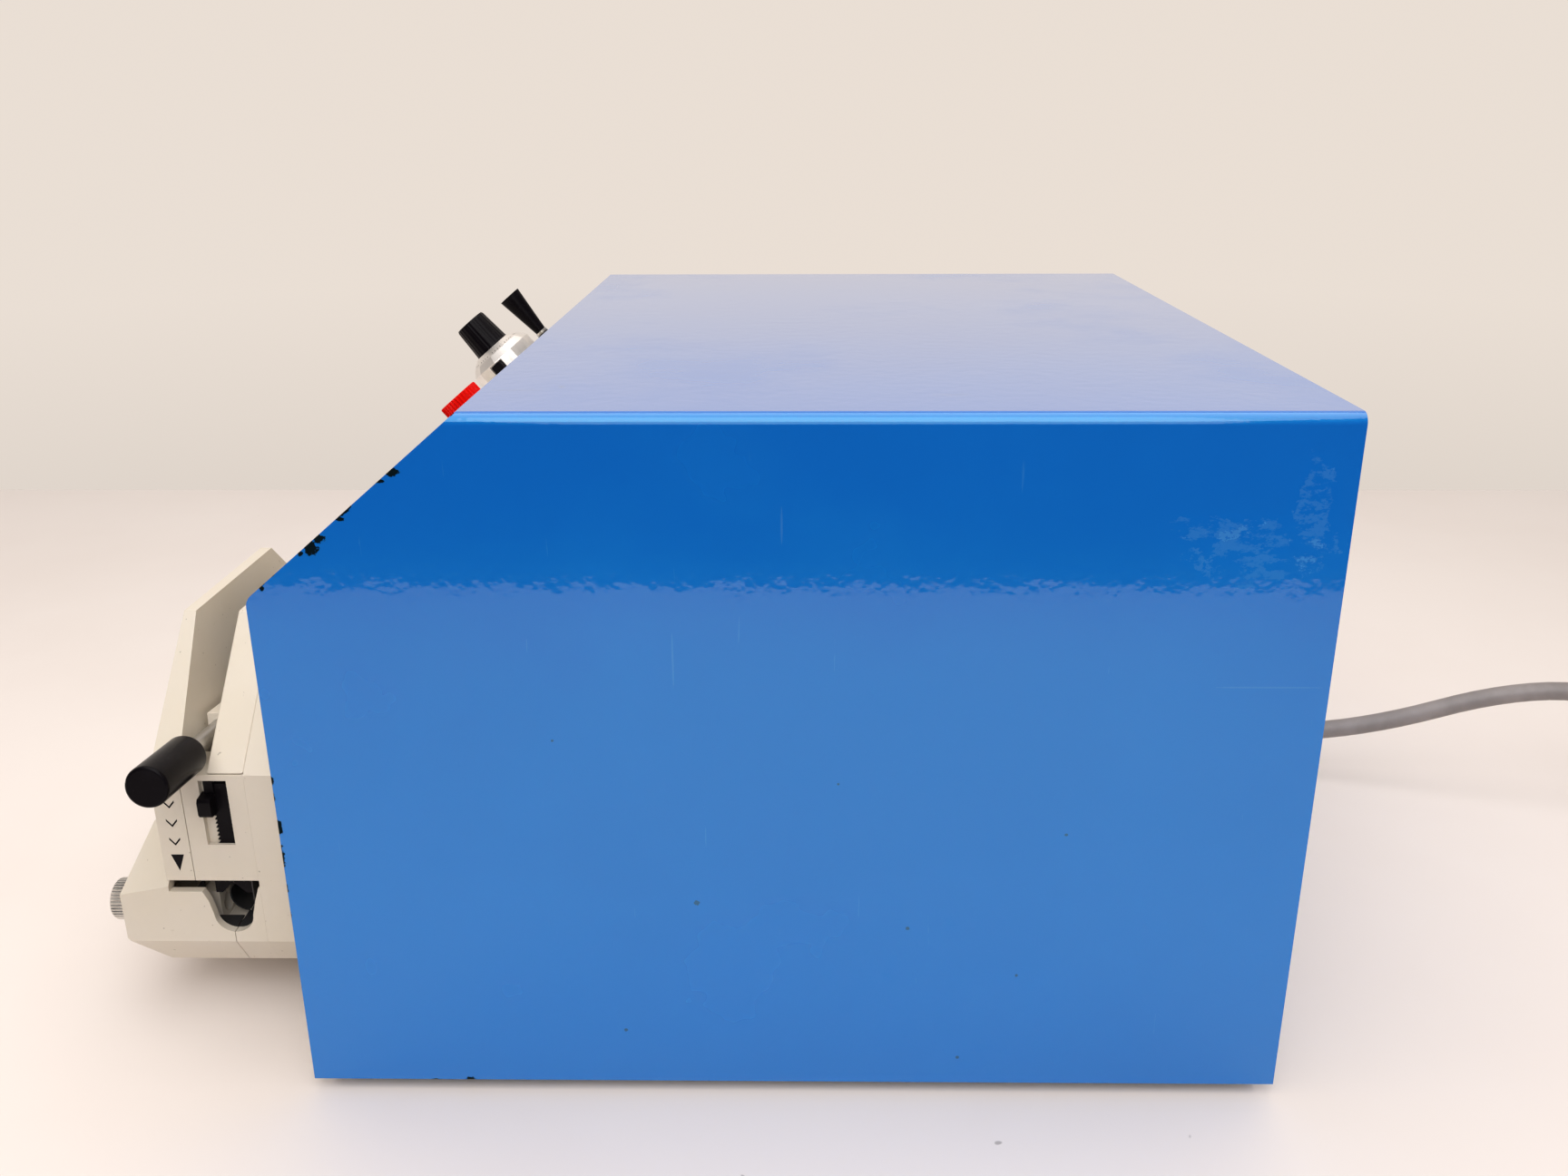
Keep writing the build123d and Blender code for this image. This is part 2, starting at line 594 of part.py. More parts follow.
def rotor_hub():
    """Hub between two cheek discs that carry the roller arms' pivot pins."""
    hub = rod_y(0, (ROTOR_FRONT, ROTOR_BACK), 0, 9.0)
    hub += rod_y(0, (ROTOR_FRONT, FORK_Y[0] - 0.2), 0, 20.0)
    hub += rod_y(0, (FORK_Y[1] + 0.2, ROTOR_BACK), 0, 20.0)
    hub -= rod_y(0, (-170, -140), 0, SHAFT_RADIUS)
    for side in (-1, 1):
        hub -= rod_y(side * ARM_PIVOT[0], (-170, -140), side * ARM_PIVOT[1], 2.0)
    return on_rotor(hub, CRANK_ANGLE + 90)


def arm_pivot_pins():
    y = (ROTOR_FRONT, ROTOR_BACK)
    pins = [rod_y(side * ARM_PIVOT[0], y, side * ARM_PIVOT[1], 2.0) for side in (-1, 1)]
    return [on_rotor(pin, CRANK_ANGLE + 90) for pin in pins]


def roller_arm(angle):
    """Fork that carries one roller, with a barrel round its pivot pin."""
    x, z = ARM_PIVOT
    reach = hypot(ROLLER_AT - x, z)
    lean = degrees(atan2(-z, ROLLER_AT - x))
    arm = rod_y(0, FORK_Y, 0, 4)
    for y in ((FORK_Y[0], FORK_Y[0] + FORK_PLATE), (FORK_Y[1] - FORK_PLATE, FORK_Y[1])):
        arm += block((0, reach), y, (-4, 4)) + rod_y(reach, y, 0, 4)
    arm = Pos(x, 0, z) * Rot(0, -lean, 0) * arm
    arm -= rod_y(x, (-170, -140), z, 2.0 + RUNNING)
    arm -= rod_y(ROLLER_AT, (-170, -140), 0, 2.0)
    return on_rotor(arm, angle)


def roller_pin(angle):
    return on_rotor(rod_y(ROLLER_AT, FORK_Y, 0, 2.0), angle)


def roller(angle):
    y = (FORK_Y[0] + FORK_PLATE + GAP, FORK_Y[1] - FORK_PLATE - GAP)
    body = rod_y(ROLLER_AT, y, 0, ROLLER_RADIUS) - rod_y(ROLLER_AT, FORK_Y, 0, 2.0 + RUNNING)
    return on_rotor(body, angle)


def crank_boss():
    """Moulded arm on the rotor's face that holds the crank rod."""
    y = (-172.4, ROTOR_FRONT)
    boss = block((-10, 46), y, (-4.5, 4.5)) + rod_y(0, y, 0, 12)
    boss -= rod_x((18, 60), CRANK_Y, 0, ROD_RADIUS)
    return on_rotor(boss, CRANK_ANGLE)


def crank_rod():
    """Steel rod that ends inside the knob."""
    return on_rotor(rod_x((18, KNOB_END - 3.0), CRANK_Y, 0, ROD_RADIUS), CRANK_ANGLE)


def crank_knob():
    """Black cylindrical grip that spins on the rod, closed at its outer end."""
    knob = rod_x((KNOB_START, KNOB_END), CRANK_Y, 0, KNOB_RADIUS)
    knob -= rod_x((60, KNOB_END - 2.9), CRANK_Y, 0, ROD_RADIUS + RUNNING)
    return on_rotor(knob, CRANK_ANGLE)


def drive_shaft():
    return rod_y(HEAD_X, (ROTOR_FRONT, PLATE_Y[1] + 4), ROTOR_Z, SHAFT_RADIUS)


def ball_bearing(y):
    """Shielded bearing drawn as one ring, running on the drive shaft."""
    ring = rod_y(HEAD_X, y, ROTOR_Z, 11)
    for groove in ((y[0], y[0] + 0.5), (y[1] - 0.5, y[1])):
        ring -= rod_y(HEAD_X, groove, ROTOR_Z, 9) - rod_y(HEAD_X, groove, ROTOR_Z, 7)
    return ring - rod_y(HEAD_X, (y[0] - 1, y[1] + 1), ROTOR_Z, SHAFT_RADIUS + RUNNING)


def gear(teeth, bore, phase):
    """Spur gear with involute flanks, drawn about the Y axis; phase turns it in tooth pitches."""
    pitch_radius = GEAR_MODULE * teeth / 2
    base = pitch_radius * cos(radians(20))
    root = pitch_radius - 1.25 * GEAR_MODULE
    tip = pitch_radius + 0.9 * GEAR_MODULE
    half_tooth = pi / (2 * teeth) - 0.1 / pitch_radius

    def involute(radius):
        pressure = acos(min(1.0, base / radius))
        return tan(pressure) - pressure

    start = max(base, root)
    radii = [start + (tip - start) * step / 3 for step in range(4)]
    flank = [(r, half_tooth + involute(pitch_radius) - involute(r)) for r in radii]
    if base > root:
        flank.insert(0, (root, flank[0][1]))
    points = []
    for tooth in range(teeth):
        middle = 2 * pi * (tooth + phase) / teeth
        rising = [(r, middle - a) for r, a in flank]
        falling = [(r, middle + a) for r, a in reversed(flank)]
        points += [(r * cos(a), r * sin(a)) for r, a in rising + falling]
    return prism_y(points, GEAR_Y) - rod_y(0, (GEAR_Y[0] - 1, GEAR_Y[1] + 1), 0, bore)


def drive_gear():
    return Pos(HEAD_X, 0, ROTOR_Z) * gear(GEAR_TEETH, SHAFT_RADIUS, 0)


def motor_pinion():
    return Pos(MOTOR_X, 0, ROTOR_Z) * gear(PINION_TEETH, MOTOR_SHAFT_RADIUS, 0.5)


def motor_shaft():
    return rod_y(MOTOR_X, (GEAR_Y[0], -40), ROTOR_Z, MOTOR_SHAFT_RADIUS)


def gear_plate():
    """Aluminium plate on a foot: it holds the rear bearing and the motor."""
    plate = block((MOTOR_X - 29, HEAD_X + 24), PLATE_Y, (SHEET, 108))
    plate += block((MOTOR_X - 29, HEAD_X + 24), (PLATE_Y[0], PLATE_Y[1] + 22), (SHEET, SHEET + 4))
    plate -= rod_y(HEAD_X, (-100, -90), ROTOR_Z, 11)
    return plate - rod_y(MOTOR_X, (-100, -90), ROTOR_Z, 6)


def motor_body():
    """Motor can with its front boss and bore."""
    body = rod_y(MOTOR_X, (PLATE_Y[1], -18), ROTOR_Z, MOTOR_RADIUS)
    return body - rod_y(MOTOR_X, (PLATE_Y[0] - 2, -38), ROTOR_Z, MOTOR_SHAFT_RADIUS + RUNNING)


def motor_cap():
    """Moulded end cap with two brush holders."""
    cap = rod_y(MOTOR_X, (-18, -4), ROTOR_Z, MOTOR_RADIUS - 1)
    for side in (-1, 1):
        cap += rod_x(sorted((MOTOR_X + side * 20, MOTOR_X + side * 28)), -11, ROTOR_Z, 4)
    return cap


# ---------------------------------------------------------------- electrics

def transformer_core():
    """Laminated core: a frame with a middle limb through the coil."""
    core = block((-112, -42), (30, 62), (SHEET, 60))
    for z in ((12, 26), (35.5, 49.5)):
        core -= block((-101, -53), (20, 70), z)
    return core


def transformer_coil():
    """Bobbin and windings round the core's middle limb."""
    coil = block((-100, -54), (20, 72), (13, 48.5))
    return coil - block((-120, -40), (30, 62), (26, 35.5))


def control_board():
    """Circuit board on four pillars."""
    board = block((35, 125), (10, 110), (12, 13.6))
    for x in (40, 110):
        for y in (15, 95):
            board += rod_z(x, y, (SHEET, 12), 3)
    return board


def heat_sink():
    sink = block((40, 60), (30, 90), (13.6, 17))
    for fin in range(5):
        sink += block((40 + 4.5 * fin, 42 + 4.5 * fin), (30, 90), (17, 42))
    return sink


def board_chips():
    places = [(72, 30), (72, 52), (72, 74), (95, 90)]
    return [block((x, x + 8), (y, y + 16), (13.6, 17.6)) for x, y in places]


def capacitors():
    return [rod_z(x, y, (13.6, 13.6 + h), r) for x, y, h, r in ((102, 35, 36, 13), (102, 66, 26, 9))]


def terminal_block():
    block_body = block((-112, -76), (92, 106), (SHEET, 16))
    for step in range(3):
        block_body -= rod_z(-106 + 12 * step, 99, (10, 17), 2.4)
    return block_body


def fuse_holder():
    """Panel fuse holder: barrel behind the rear panel and a collar outside it."""
    body = rod_y(FUSE_X, (REAR_FACE - 36, REAR_FACE), FUSE_Z, 6.0)
    body += rod_y(FUSE_X, (REAR_FACE, REAR_FACE + 3), FUSE_Z, 8.5)
    return body - rod_y(FUSE_X, (REAR_FACE - 30, REAR_FACE + 4), FUSE_Z, 4.5 + RUNNING)


def fuse_cap():
    """Bayonet cap with a coin slot; it grips the fuse link."""
    cap = rod_y(FUSE_X, (REAR_FACE + 3.1, FUSE_END), FUSE_Z, 7.0)
    cap += rod_y(FUSE_X, (REAR_FACE - 6, REAR_FACE + 3.1), FUSE_Z, 4.5)
    cap -= rod_y(FUSE_X, (REAR_FACE - 7, REAR_FACE - 1), FUSE_Z, 3.1)
    slot = (FUSE_Z - 0.7, FUSE_Z + 0.7)
    return cap - block((FUSE_X - 5, FUSE_X + 5), (FUSE_END - 2, FUSE_END + 1), slot)


def fuse_link():
    return rod_y(FUSE_X, (REAR_FACE - 28, REAR_FACE - 2), FUSE_Z, 2.9)


# ---------------------------------------------------------------- mains flex

def cable_gland():
    """Nut, body and tapered bend relief round the flex, fixed in the rear panel."""
    gland = rod_y(GLAND_X, (REAR_FACE - 8, REAR_FACE), GLAND_Z, 6.0)
    collar = prism_y(hexagon(GLAND_X, GLAND_Z, 9.0), (REAR_FACE, REAR_FACE + 7))
    taper_length = GLAND_END - REAR_FACE - 7
    taper = Pos(GLAND_X, REAR_FACE + 7 + taper_length / 2, GLAND_Z) * Rot(-90, 0, 0)
    gland += collar + taper * Cone(7.0, 4.9, taper_length)
    return gland - rod_y(GLAND_X, (REAR_FACE - 20, GLAND_END + 1), GLAND_Z, CORD_RADIUS)


def hexagon(x, z, radius):
    return [(x + radius * cos(k * pi / 3), z + radius * sin(k * pi / 3)) for k in range(6)]


CORD_REST = TABLE_Z + CORD_RADIUS + GAP
CORD_ROUTE = [
    (GLAND_X, REAR_FACE - 4, GLAND_Z),
    (GLAND_X, 166, GLAND_Z),
    (-57.5, 196, 12.5),
    (-49, 233, 21),
    (-40.5, 274, 39),
    (-32, 307, 43.5),
    (-23, 336, 32),
    (-16, 361, 12),
    (-14.5, 385, CORD_REST),
]


def cord_radii(route):
    """Largest bend at each corner that its two runs allow."""
    radii = []
    for before, corner, after in zip(route, route[1:], route[2:]):
        first = Vector(*corner) - Vector(*before)
        second = Vector(*after) - Vector(*corner)
        half_turn = radians(first.get_angle(second)) / 2
        radii.append(0.45 * min(first.length, second.length) / tan(half_turn))
    return radii


def mains_cord():
    """Flex from the gland to the coil, in straight runs joined by tangent arcs."""
    radii = cord_radii(CORD_ROUTE)
    path = FilletPolyline(*CORD_ROUTE, radius=radii)
    start = Plane(origin=CORD_ROUTE[0], z_dir=Vector(*CORD_ROUTE[1]) - Vector(*CORD_ROUTE[0]))
    flex = sweep(start * Circle(CORD_RADIUS), path=path)
    print("cord bend radii, mm:", [round(radius) for radius in radii])
    print("cord tube length, mm:", round(path.length))
    print("volume over section times length:", flex.volume / (pi * CORD_RADIUS**2 * path.length))
    return flex


def cord_tail():
    """Short end of the flex, from the coil to the plug."""
    start = Vector(COIL_AT[0] - 3, COIL_AT[1] + COIL_RADIUS + 7, CORD_REST + 2 * CORD_RADIUS)
    run = Vector(PLUG_X + TAIL_LENGTH, PLUG_Y, PLUG_Z) - start
    place = Plane(origin=start, z_dir=run).location
    return place * Cylinder(CORD_RADIUS, run.length, align=(Align.CENTER, Align.CENTER, Align.MIN))


def coil_ring():
    """Outer shape of the wound length of flex."""
    z = (TABLE_Z, TABLE_Z + COIL_HEIGHT)
    ring = rod_z(*COIL_AT, z, COIL_RADIUS + COIL_HALF_WIDTH)
    return ring - rod_z(*COIL_AT, (z[0] - 1, z[1] + 1), COIL_RADIUS - COIL_HALF_WIDTH)


def mains_plug():
    """Moulded plug lying beside the coil, with its tapered tail."""
    body = block((PLUG_X - 28, PLUG_X), (PLUG_Y - 14, PLUG_Y + 14), (PLUG_Z - 11, PLUG_Z + 11))
    tail = Pos(PLUG_X + TAIL_LENGTH / 2, PLUG_Y, PLUG_Z) * Rot(0, 90, 0) * Cone(8.0, 4.9, TAIL_LENGTH)
    return body + tail


def plug_pins():
    """Two flat blades and a round earth pin."""
    x = (PLUG_X - 28 - 16, PLUG_X - 28)
    pins = [block(x, (y - 0.75, y + 0.75), (PLUG_Z - 6, PLUG_Z)) for y in (PLUG_Y - 6.35, PLUG_Y + 6.35)]
    return pins + [rod_x(x, PLUG_Y, PLUG_Z + 6, 2.4)]


def main():
    os.makedirs("parts", exist_ok=True)
    write("cover", cover())
    write("front_panel", front_panel())
    write("rear_panel", rear_panel())
    write("base_tray", base_tray())
    write("rubber_feet", *[rubber_foot(x, y) for x, y in foot_places()])
    write("screws", *case_screws(), *head_screws(), *[foot_screw(x, y) for x, y in foot_places()])
    write("lamp_holder", lamp_holder())
    write("lamp_lens", lamp_lens())
    write("dial_body", dial_body())
    write("dial_knob", dial_knob())
    write("dial_brake", dial_brake())
    write("pot_shaft", pot_shaft())
    write("potentiometer", potentiometer())
    write("switch_body", switch_body())
    write("switch_nut", switch_nut())
    write("toggle_lever", toggle_lever())
    write("head_back_block", head_back_block())
    write("track_block", track_block())
    write("tube_shelf", tube_shelf())
    write("clamp_housing_right", clamp_housing())
    write("clamp_housing_left", mirrored(clamp_housing()))
    write("clamp_slider_right", clamp_slider())
    write("clamp_slider_left", mirrored(clamp_slider()))
    write("hinge_bracket", hinge_bracket())
    write("hinge_pins", *hinge_pins())
    write("guard_door", guard_door())
    write("thumb_screw", thumb_screw())
    write("screw_clip", screw_clip())
    write("rotor_hub", rotor_hub())
    write("arm_pivot_pins", *arm_pivot_pins())
    for name, angle in (("a", CRANK_ANGLE + 90), ("b", CRANK_ANGLE + 270)):
        write(f"roller_arm_{name}", roller_arm(angle))
        write(f"roller_pin_{name}", roller_pin(angle))
        write(f"roller_{name}", roller(angle))
    write("crank_boss", crank_boss())
    write("crank_rod", crank_rod())
    write("crank_knob", crank_knob())
    write("drive_shaft", drive_shaft())
    write("ball_bearings", ball_bearing((HEAD_BACK - 8, HEAD_BACK)), ball_bearing(PLATE_Y))
    write("drive_gear", drive_gear())
    write("motor_pinion", motor_pinion())
    write("motor_shaft", motor_shaft())
    write("gear_plate", gear_plate())
    write("motor_body", motor_body())
    write("motor_cap", motor_cap())
    write("transformer_core", transformer_core())
    write("transformer_coil", transformer_coil())
    write("control_board", control_board())
    write("board_parts", heat_sink(), *board_chips(), *capacitors())
    write("terminal_block", terminal_block())
    write("fuse_holder", fuse_holder())
    write("fuse_cap", fuse_cap())
    write("fuse_link", fuse_link())
    write("cable_gland", cable_gland())
    write("mains_cord", mains_cord(), cord_tail())
    write("cord_coil", coil_ring())
    write("mains_plug", mains_plug())
    write("plug_pins", *plug_pins())


main()
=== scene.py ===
"""Looks of the bench-top peristaltic pump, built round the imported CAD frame.

Blender works in metres in the row frame: X to the right of the control panel, Y to the back, Z up.
Places on the pump are given in millimetres from the middle of the cover's lower edge, by case().
"""

import json
import math

import bmesh
import bpy
from mathutils import Matrix, Vector


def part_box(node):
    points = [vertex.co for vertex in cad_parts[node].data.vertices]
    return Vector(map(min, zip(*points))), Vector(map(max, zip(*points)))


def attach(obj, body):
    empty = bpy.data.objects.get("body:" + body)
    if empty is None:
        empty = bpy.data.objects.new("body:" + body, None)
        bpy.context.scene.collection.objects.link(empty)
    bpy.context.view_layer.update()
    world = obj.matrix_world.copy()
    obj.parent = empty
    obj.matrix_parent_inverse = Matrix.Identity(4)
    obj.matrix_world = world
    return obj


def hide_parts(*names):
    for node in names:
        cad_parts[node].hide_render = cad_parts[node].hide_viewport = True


MM = 0.001

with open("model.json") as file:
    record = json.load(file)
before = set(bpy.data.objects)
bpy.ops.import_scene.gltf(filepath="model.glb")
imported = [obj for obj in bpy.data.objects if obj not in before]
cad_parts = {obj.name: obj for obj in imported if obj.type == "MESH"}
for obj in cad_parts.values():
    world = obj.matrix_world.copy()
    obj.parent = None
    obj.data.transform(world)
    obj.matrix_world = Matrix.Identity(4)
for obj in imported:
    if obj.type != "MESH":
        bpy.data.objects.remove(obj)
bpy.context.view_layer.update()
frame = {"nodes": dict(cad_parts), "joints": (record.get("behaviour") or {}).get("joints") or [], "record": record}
NODES = frame["nodes"]
JOINTS = {joint["name"]: joint for joint in frame["joints"]}
COVER_LOW, COVER_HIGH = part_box("cover")
ORIGIN = Vector(((COVER_LOW.x + COVER_HIGH.x) / 2, (COVER_LOW.y + COVER_HIGH.y) / 2, COVER_LOW.z))


def case(x, y, z):
    """A point in metres from its place on the pump in millimetres."""
    return ORIGIN + Vector((x, y, z)) * MM


# ------------------------------------------------------------------ camera, lights and table

CAMERA_AT = case(444.25, 2.89, 254.35)
CAMERA_TURN = -0.0146  # radians, away from straight along -X
CAMERA_DOWN = 0.3427
CAMERA_ROLL = -0.0037
LENS_MM = 31.09
SENSOR_MM = 36.0
TABLE_BACK = -0.485  # x of the table's far edge
TABLE_FRONT = 0.555
TABLE_REACH = 2.4  # half its length along Y
LIGHTS = [  # name, place, target, width and length in metres, watts, colour
    ("ceiling", (0.68, 0.0, 1.15), (0.55, 0.0, 0.0), (1.3, 2.2), 19.5, (1.0, 0.965, 0.94)),
    ("front_room", (1.35, 0.1, 1.0), (0.2, 0.0, 0.05), (1.0, 1.8), 9.0, (1.0, 0.98, 0.97)),
]
WALL_COLOUR = (0.82, 0.735, 0.66, 1)  # seen at the far side, and mirrored in the top
ROOM_COLOUR = (0.10, 0.095, 0.10, 1)  # behind the camera, mirrored in the right side
WALL_END = 0.25  # where the wall gives way to the room, as shares of the way from -X to +X
ROOM_START = 0.72
LOW_STRENGTH = 0.87  # of the light from below the horizon
LOW_FADE = (-0.28, -0.12)  # heights on the unit sphere between which it comes up to 1


def make_camera():
    """Camera at the solved place, aimed by a turn, a downward tilt and a roll."""
    forward = Vector((
        -math.cos(CAMERA_TURN) * math.cos(CAMERA_DOWN),
        math.sin(CAMERA_TURN) * math.cos(CAMERA_DOWN),
        -math.sin(CAMERA_DOWN),
    ))
    right = forward.cross(Vector((0, 0, 1))).normalized()
    up = right.cross(forward)
    tilt_right = right * math.cos(CAMERA_ROLL) + up * math.sin(CAMERA_ROLL)
    tilt_up = up * math.cos(CAMERA_ROLL) - right * math.sin(CAMERA_ROLL)
    data = bpy.data.cameras.new("camera")
    data.lens = LENS_MM
    data.sensor_width = SENSOR_MM
    data.clip_start = 0.01
    camera = bpy.data.objects.new("camera", data)
    turn = Matrix((tilt_right, tilt_up, -forward)).transposed()
    camera.matrix_world = Matrix.Translation(CAMERA_AT) @ turn.to_4x4()
    bpy.context.scene.collection.objects.link(camera)
    bpy.context.scene.camera = camera


def area_light(name, at, target, size, power, color):
    """Rectangular lamp at one place, facing another."""
    data = bpy.data.lights.new(name, "AREA")
    data.shape = "RECTANGLE"
    data.size, data.size_y = size
    data.energy = power
    data.color = color
    lamp = bpy.data.objects.new(name, data)
    lamp.location = at
    lamp.rotation_euler = (Vector(target) - Vector(at)).to_track_quat("-Z", "Y").to_euler()
    bpy.context.scene.collection.objects.link(lamp)


def make_lights():
    for light in LIGHTS:
        area_light(*light)


def make_world():
    """Bright warm wall on the far side, dim room on the near side."""
    world = bpy.data.worlds.new("room")
    bpy.context.scene.world = world
    bpy.context.scene.view_settings.view_transform = "Standard"
    world.use_nodes = True
    nodes, links = world.node_tree.nodes, world.node_tree.links
    nodes.clear()
    out = nodes.new("ShaderNodeOutputWorld")
    back = nodes.new("ShaderNodeBackground")
    coord = nodes.new("ShaderNodeTexCoord")
    split = nodes.new("ShaderNodeSeparateXYZ")
    side = nodes.new("ShaderNodeMapRange")
    ramp = nodes.new("ShaderNodeValToRGB")
    links.new(coord.outputs["Generated"], split.inputs[0])
    links.new(split.outputs["X"], side.inputs["Value"])
    side.inputs["From Min"].default_value = -1.0
    side.inputs["From Max"].default_value = 1.0
    links.new(side.outputs[0], ramp.inputs[0])
    ramp.color_ramp.elements[0].color = WALL_COLOUR
    ramp.color_ramp.elements[0].position = WALL_END
    ramp.color_ramp.elements[1].color = ROOM_COLOUR
    ramp.color_ramp.elements[1].position = ROOM_START
    links.new(ramp.outputs[0], back.inputs["Color"])
    low = nodes.new("ShaderNodeMapRange")
    links.new(split.outputs["Z"], low.inputs["Value"])
    low.inputs["From Min"].default_value = LOW_FADE[0]
    low.inputs["From Max"].default_value = LOW_FADE[1]
    low.inputs["To Min"].default_value = LOW_STRENGTH
    links.new(low.outputs[0], back.inputs["Strength"])
    links.new(back.outputs[0], out.inputs["Surface"])


def make_table():
    """Plain warm white table top with a few crumbs."""
    corners = [
        (TABLE_BACK, -TABLE_REACH, 0),
        (TABLE_FRONT, -TABLE_REACH, 0),
        (TABLE_FRONT, TABLE_REACH, 0),
        (TABLE_BACK, TABLE_REACH, 0),
    ]
    mesh = bpy.data.meshes.new("table")
    mesh.from_pydata(corners, [], [(0, 1, 2, 3)])
    table = bpy.data.objects.new("table", mesh)
    bpy.context.scene.collection.objects.link(table)
    look = Look("table_top", (0.83, 0.77, 0.735), 0.5)
    look.mottle((0.78, 0.71, 0.67), 4.0, 0.5)
    crumb = look.band(look.noise(75.0, 1.0), 0.797, 0.806)
    look.paint((0.12, 0.10, 0.09), look.math("MULTIPLY", crumb, 0.5))
    mesh.materials.append(look.material)


# ------------------------------------------------------------------ materials

MIX_COLOURS = (6, 7)  # places of a colour mix's two inputs
MIX_NUMBERS = (2, 3)  # and of a number mix's
ENAMEL_SHINE = 0.9  # Specular IOR Level of sound enamel
SPOT_BLUR = 0.06  # half width of a spot's edge, as a share of its size
WEAR_BLUR = 0.00004  # and of worn edges, in metres


class Look:
    """A Principled material that grows by steps: each method adds one trait of the surface."""

    def __init__(self, name, color, roughness, metallic=0.0):
        self.material = bpy.data.materials.new(name)
        self.material.use_nodes = True
        self.nodes = self.material.node_tree.nodes
        self.links = self.material.node_tree.links
        self.shader = self.nodes["Principled BSDF"]
        self.shader.inputs["Base Color"].default_value = (*color, 1)
        self.shader.inputs["Roughness"].default_value = roughness
        self.shader.inputs["Metallic"].default_value = metallic
        self.place = self.nodes.new("ShaderNodeTexCoord").outputs["Object"]
        self.color = None
        self.rough = None
        self.height = None
        self.base = color
        self.base_rough = roughness

    def add(self, kind, *inputs, **settings):
        """A new node with its first inputs linked or set."""
        node = self.nodes.new(kind)
        for key, value in settings.items():
            setattr(node, key, value)
        for index, value in enumerate(inputs):
            self.feed(node.inputs[index], value)
        return node

    def feed(self, socket, value):
        """Link a socket to another, or set its value; None leaves it alone."""
        if value is None:
            return
        if isinstance(value, bpy.types.NodeSocket):
            self.links.new(value, socket)
        else:
            socket.default_value = value

    def noise(self, scale, detail=3.0, stretch=(1, 1, 1), rough=0.55):
        vector = self.place
        if stretch != (1, 1, 1):
            vector = self.add("ShaderNodeMapping", self.place).outputs[0]
            vector.node.inputs["Scale"].default_value = stretch
        node = self.add("ShaderNodeTexNoise", vector)
        node.inputs["Scale"].default_value = scale
        node.inputs["Detail"].default_value = detail
        node.inputs["Roughness"].default_value = rough
        return node.outputs["Fac"]

    def math(self, operation, a, b):
        return self.add("ShaderNodeMath", a, b, operation=operation).outputs[0]

    def band(self, value, low, high):
        """0 below low, 1 above high, smooth between."""
        node = self.add("ShaderNodeMapRange", value, low, high, interpolation_type="SMOOTHSTEP")
        return node.outputs[0]

    def paint(self, color, mask):
        """Lay a colour over what is there, where mask is 1."""
        node = self.add("ShaderNodeMix", data_type="RGBA")
        self.feed(node.inputs[0], mask)
        under, over = MIX_COLOURS
        self.feed(node.inputs[under], self.color if self.color is not None else (*self.base, 1))
        self.feed(node.inputs[over], (*color, 1))
        self.color = node.outputs[2]
        self.links.new(self.color, self.shader.inputs["Base Color"])

    def roughen(self, value, mask):
        """Move the roughness to value where mask is 1."""
        node = self.add("ShaderNodeMix", data_type="FLOAT")
        self.feed(node.inputs[0], mask)
        under, over = MIX_NUMBERS
        self.feed(node.inputs[under], self.rough if self.rough is not None else self.base_rough)
        self.feed(node.inputs[over], value)
        self.rough = node.outputs[0]
        self.links.new(self.rough, self.shader.inputs["Roughness"])

    def mottle(self, color, scale, amount):
        """Cloud a second colour over the first."""
        fade = self.band(self.noise(scale, 4.0), 0.35, 0.65)
        self.paint(color, self.math("MULTIPLY", fade, amount))

    def bump(self, height, distance, strength):
        """Relief of a given height in metres; reliefs add up."""
        node = self.add("ShaderNodeBump")
        node.inputs["Strength"].default_value = strength
        node.inputs["Distance"].default_value = distance
        self.links.new(height, node.inputs["Height"])
        if self.height is not None:
            self.links.new(self.height, node.inputs["Normal"])
        self.height = node.outputs[0]
        self.links.new(self.height, self.shader.inputs["Normal"])

    def coat(self, weight, roughness):
        """Clear gloss over the colour, with the same relief."""
        self.links.new(self.height, self.shader.inputs["Coat Normal"])
        self.shader.inputs["Coat Weight"].default_value = weight
        self.shader.inputs["Coat Roughness"].default_value = roughness

    def near(self, point, size, ragged=0.5, grain=420.0):
        """Ragged spot: 1 inside an oval of given half lengths round a point, 0 outside.

        The noise swings round 0.5, so half of its weight is given back in the limit.
        """
        offset = self.add("ShaderNodeVectorMath", self.place, point, operation="SUBTRACT").outputs[0]
        scaled = self.add("ShaderNodeVectorMath", offset, size, operation="DIVIDE").outputs[0]
        gap = self.add("ShaderNodeVectorMath", scaled, operation="LENGTH").outputs["Value"]
        weight = ragged * 5.0
        wobble = self.math("MULTIPLY", self.noise(grain, 5.0, rough=0.7), weight)
        edge = self.math("ADD", gap, wobble)
        limit = 1 + weight / 2
        return self.band(edge, limit + SPOT_BLUR, limit - SPOT_BLUR)

    def along(self, corner, direction, inward, length, depth, grain, share):
        """Broken wear along an edge: 1 where it bites in from the line that starts at corner.

        A larger share leaves more of the edge sound.
        """
        offset = self.add("ShaderNodeVectorMath", self.place, corner, operation="SUBTRACT").outputs[0]
        run = self.add("ShaderNodeVectorMath", offset, direction, operation="DOT_PRODUCT")
        inset = self.add("ShaderNodeVectorMath", offset, inward, operation="DOT_PRODUCT")
        run, inset = run.outputs["Value"], inset.outputs["Value"]
        bite = self.math("SUBTRACT", self.noise(grain, 4.0, rough=0.65), share)
        reach = self.math("MULTIPLY", bite, depth * 8)
        worn = self.band(self.math("SUBTRACT", reach, inset), -WEAR_BLUR, WEAR_BLUR)
        started = self.math("GREATER_THAN", run, 0.0)
        ended = self.math("LESS_THAN", run, length)
        return self.math("MULTIPLY", worn, self.math("MULTIPLY", started, ended))


